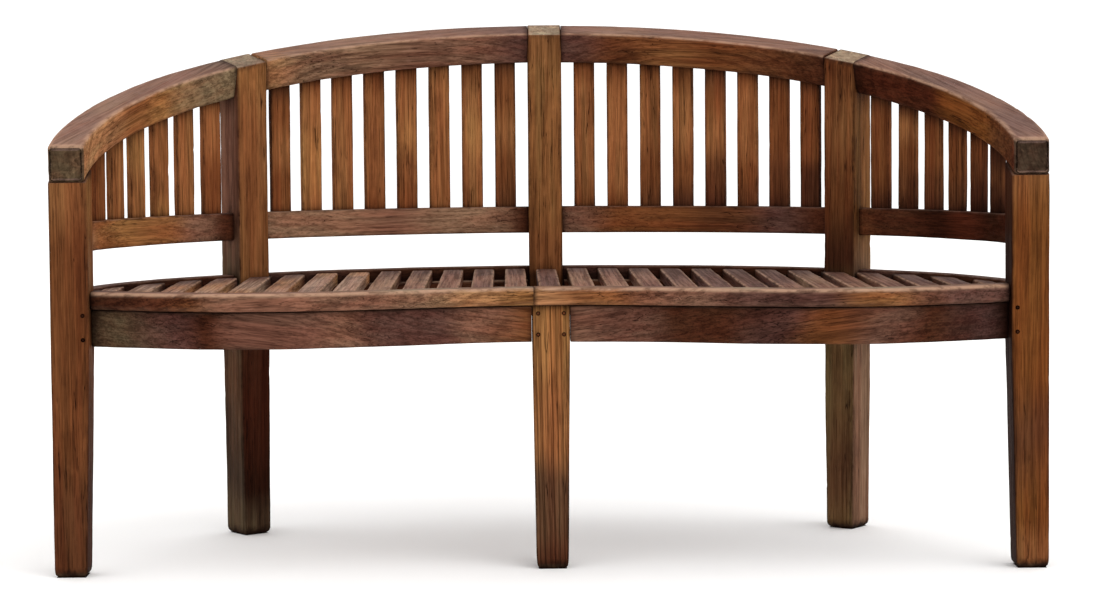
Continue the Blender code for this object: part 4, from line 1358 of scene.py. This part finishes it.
def make_seat_slats(plan):
    """The straight slats of the seat and the cleats that carry them."""
    middle, thickness = middle_of("seat_slat_centre")
    rooms = ((-1, seat_front_room(plan)), (1, seat_back_room(plan)))
    covered = plan.front + plan.seat_inside / 3
    for index, side_name, across, width in seat_slat_places(plan):
        section = rounded_section(width, thickness, plan.sizes.board_ease)
        place = straight_place(across, middle)
        ends = []
        for direction, room in rooms:
            edge = seat_edge(place, room, covered, direction)
            ends.append(End(edge + direction * SEARCH_MARGIN, room))
        node = f"seat_slats_{side_name}" if index else "seat_slat_centre"
        name = f"seat_slat_{side_name}_{index}" if index else node
        coats = SEAT_COATS[side_name]
        coat = coats[(index - 1) % len(coats)]
        board = Board(plan, name, "seat_wood", place, section, ends, coat, UP, SEAT_RING_SPACING)
        board.stand_for(node)
    make_cleats(plan)


def seat_edge(place, room, start, direction):
    """Where the middle line of a seat slat runs out of room."""
    along = start
    while room(place(0, 0, along)) > 0:
        along += direction * EDGE_STEP
    return along


def make_cleats(plan):
    """The cleats behind the aprons and along the seat rails."""
    sizes = plan.sizes
    top = node_low("seat_slat_centre").z + sizes.cleat_housing
    height = top - sizes.cleat_depth / 2
    section = rounded_section(sizes.cleat_width, sizes.cleat_depth, sizes.board_ease)
    front_inset = plan.rim_width + sizes.fit + sizes.cleat_width / 2
    back_inset = (sizes.seat_rail_thickness + sizes.cleat_width) / 2 + sizes.fit
    back_place = level_place(plan, height, back_inset)
    stop = plan.front + plan.post_width + sizes.cleat_end
    for side_name, side in SIDES:
        near, far = plan.half_post + sizes.slat_fit, plan.seat_inside - sizes.slat_fit
        back_ends = bay_ends(plan, "back", side_name, side, sizes.slat_fit)
        side_ends = bay_ends(plan, "side", side_name, side, sizes.slat_fit)
        side_ends[side > 0].room = plane_room((0, stop, 0), FRONT)
        runs = (
            ("front", front_place(plan, front_inset, height),
             square_ends(X, *sorted((side * near, side * far)))),
            ("back", back_place, back_ends),
            ("side", back_place, side_ends),
        )
        for kind, place, ends in runs:
            name = f"seat_cleat_{kind}_{side_name}"
            board = Board(plan, name, "seat_wood", place, section, ends, spacing=SEAT_RING_SPACING)
            board.stand_for("seat_slats_" + side_name)


def make_pegs(plan):
    """The pegs of the middle leg, which are solids of the frame, and those of the front posts."""
    sizes = plan.sizes
    first_low, first_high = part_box("leg_peg_upper_left")
    section = round_section(first_high.x - first_low.x)
    middle = (node_low("leg_peg_lower_left").z + first_high.z) / 2 + sizes.peg_rise
    post_front = plan.front - sizes.fit
    for side_name, side in SIDES:
        for level_name, level in (("upper", 1), ("lower", -1)):
            ending = f"_peg_{level_name}_{side_name}"
            low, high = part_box("leg" + ending)
            place = straight_place((low.x + high.x) / 2, (low.z + high.z) / 2)
            make_peg(plan, "leg" + ending, place, section, (low.y, high.y), "chestnut")
            place = straight_place(side * (plan.seat_inside + sizes.peg_edge),
                                   middle + level * sizes.peg_spacing / 2)
            depths = (post_front, post_front + plan.half_post)
            make_peg(plan, "post" + ending, place, section, depths, "soot")


def make_peg(plan, name, place, section, depths, colour):
    """One peg from front to back. Those of the front posts stand for no solid."""
    ends = (square_end(Y, depths[0], -1, PEG_ROUND, colour, 0.0, margin=TIGHT_ROUND),
            square_end(Y, depths[1], 1, margin=TIGHT_ROUND))
    board = Board(plan, name, "peg_wood", place, section, ends, COATS["peg"])
    board.stand_for(name if name.startswith("leg") else None)


def aimed(*angles):
    """Turns about the Z, X and Z axes, one after another, as an object's rotation."""
    turn = Matrix.Identity(4)
    for angle, axis in zip(angles, "ZXZ"):
        turn = turn @ Matrix.Rotation(angle, 4, axis)
    return turn.to_euler()


def add_sun(stage):
    """One large soft light from the front right."""
    light = bpy.data.lights.new("sun", "SUN")
    light.energy = stage.sun_power
    light.angle = stage.sun_softness
    lamp = add_object("sun", light)
    lamp.rotation_euler = aimed(stage.sun_side, math.pi / 2 - stage.sun_height)


def add_floor(stage):
    """The pale floor."""
    mesh = bpy.data.meshes.new("floor")
    corners = [(x * FLOOR_HALF, y * FLOOR_HALF, 0) for x, y in ((-1, -1), (1, -1), (1, 1), (-1, 1))]
    mesh.from_pydata(corners, [], [(0, 1, 2, 3)])
    paper = bpy.data.materials.new("paper")
    surface = Recipe(paper).shader.inputs
    surface["Base Color"].default_value = (*shown_colour(stage.paper), 1)
    surface["Roughness"].default_value = FLOOR_ROUGHNESS
    surface["Specular IOR Level"].default_value = FLOOR_GLOSS
    mesh.materials.append(paper)
    add_object("floor", mesh)


def add_camera(stage):
    """The camera at the photo's place."""
    camera = bpy.data.cameras.new("camera")
    camera.lens = stage.lens
    camera.sensor_width = stage.sensor
    camera.shift_y = stage.shift
    eye = add_object("camera", camera)
    eye.location = stage.camera_place
    eye.rotation_euler = aimed(
        stage.camera_yaw, math.pi / 2 - stage.camera_pitch, stage.camera_roll
    )
    bpy.context.scene.camera = eye


def make_stage(stage):
    """The pale floor, the soft lights and the camera."""
    add_floor(stage)
    scene = bpy.context.scene
    scene.world = bpy.data.worlds.new("studio")
    scene.world.use_nodes = True
    sky = scene.world.node_tree.nodes["Background"].inputs
    sky["Color"].default_value = (1, 1, 1, 1)
    sky["Strength"].default_value = stage.sky
    add_sun(stage)
    add_camera(stage)
    scene.view_settings.view_transform = "Standard"


def scene_plan():
    """Plan of the bench in the scene."""
    scene = bpy.context.scene
    return BenchPlan(scene.bench_sizes, scene.bench_finish)


class BENCH_OT_posts(bpy.types.Operator):
    """Build the posts and the middle front leg"""

    bl_idname = "bench.posts"
    bl_label = "Posts"

    def execute(self, context):
        make_posts(scene_plan())
        return {"FINISHED"}


class BENCH_OT_top_rail(bpy.types.Operator):
    """Build the arms and the top rail"""

    bl_idname = "bench.top_rail"
    bl_label = "Top Rail"

    def execute(self, context):
        make_top_rail(scene_plan())
        return {"FINISHED"}


class BENCH_OT_lower_rail(bpy.types.Operator):
    """Build the lower back rail"""

    bl_idname = "bench.lower_rail"
    bl_label = "Lower Rail"

    def execute(self, context):
        make_lower_rail(scene_plan())
        return {"FINISHED"}


class BENCH_OT_back_slats(bpy.types.Operator):
    """Build the upright slats of the back"""

    bl_idname = "bench.back_slats"
    bl_label = "Back Slats"

    def execute(self, context):
        make_back_slats(scene_plan())
        return {"FINISHED"}


class BENCH_OT_seat_front(bpy.types.Operator):
    """Build the rim and the aprons"""

    bl_idname = "bench.seat_front"
    bl_label = "Seat Front"

    def execute(self, context):
        make_seat_front(scene_plan())
        return {"FINISHED"}


class BENCH_OT_seat_frame(bpy.types.Operator):
    """Build the seat rails and the stretcher"""

    bl_idname = "bench.seat_frame"
    bl_label = "Seat Frame"

    def execute(self, context):
        make_seat_frame(scene_plan())
        return {"FINISHED"}


class BENCH_OT_seat_slats(bpy.types.Operator):
    """Build the seat slats and their cleats"""

    bl_idname = "bench.seat_slats"
    bl_label = "Seat Slats"

    def execute(self, context):
        make_seat_slats(scene_plan())
        return {"FINISHED"}


class BENCH_OT_pegs(bpy.types.Operator):
    """Build the pegs"""

    bl_idname = "bench.pegs"
    bl_label = "Pegs"

    def execute(self, context):
        make_pegs(scene_plan())
        return {"FINISHED"}


class BENCH_OT_stage(bpy.types.Operator):
    """Set up the floor, the lights and the camera"""

    bl_idname = "bench.stage"
    bl_label = "Stage"

    def execute(self, context):
        make_stage(context.scene.bench_stage)
        return {"FINISHED"}


GROUPS = {"bench_sizes": BenchSizes, "bench_finish": BenchFinish, "bench_stage": StageSettings}
OPERATORS = (
    BENCH_OT_posts, BENCH_OT_top_rail, BENCH_OT_lower_rail, BENCH_OT_back_slats,
    BENCH_OT_seat_front, BENCH_OT_seat_frame, BENCH_OT_seat_slats, BENCH_OT_pegs, BENCH_OT_stage,
)


class BENCH_PT_bench(bpy.types.Panel):
    """The bench's operators and settings"""

    bl_label = "Curved Garden Bench"
    bl_idname = "BENCH_PT_bench"
    bl_space_type = "VIEW_3D"
    bl_region_type = "UI"
    bl_category = "Bench"

    def draw(self, context):
        for operator in OPERATORS:
            self.layout.operator(operator.bl_idname)
        for name, group in GROUPS.items():
            box = self.layout.box()
            box.label(text=group.__name__)
            for setting in group.__annotations__:
                box.prop(getattr(context.scene, name), setting)


def register():
    """Make the settings, operators and panel known."""
    for item in (*GROUPS.values(), *OPERATORS, BENCH_PT_bench):
        bpy.utils.register_class(item)
    for name, group in GROUPS.items():
        setattr(bpy.types.Scene, name, PointerProperty(type=group))


def unregister():
    """Take the panel, operators and settings away again."""
    for name in GROUPS:
        delattr(bpy.types.Scene, name)
    for item in reversed((*GROUPS.values(), *OPERATORS, BENCH_PT_bench)):
        bpy.utils.unregister_class(item)


def main():
    """Build the bench piece by piece, then its stage."""
    register()
    bpy.ops.bench.posts()
    bpy.ops.bench.top_rail()
    bpy.ops.bench.lower_rail()
    bpy.ops.bench.back_slats()
    bpy.ops.bench.seat_front()
    bpy.ops.bench.seat_frame()
    bpy.ops.bench.seat_slats()
    bpy.ops.bench.pegs()
    bpy.ops.bench.stage()


if __name__ == "__main__":
    main()
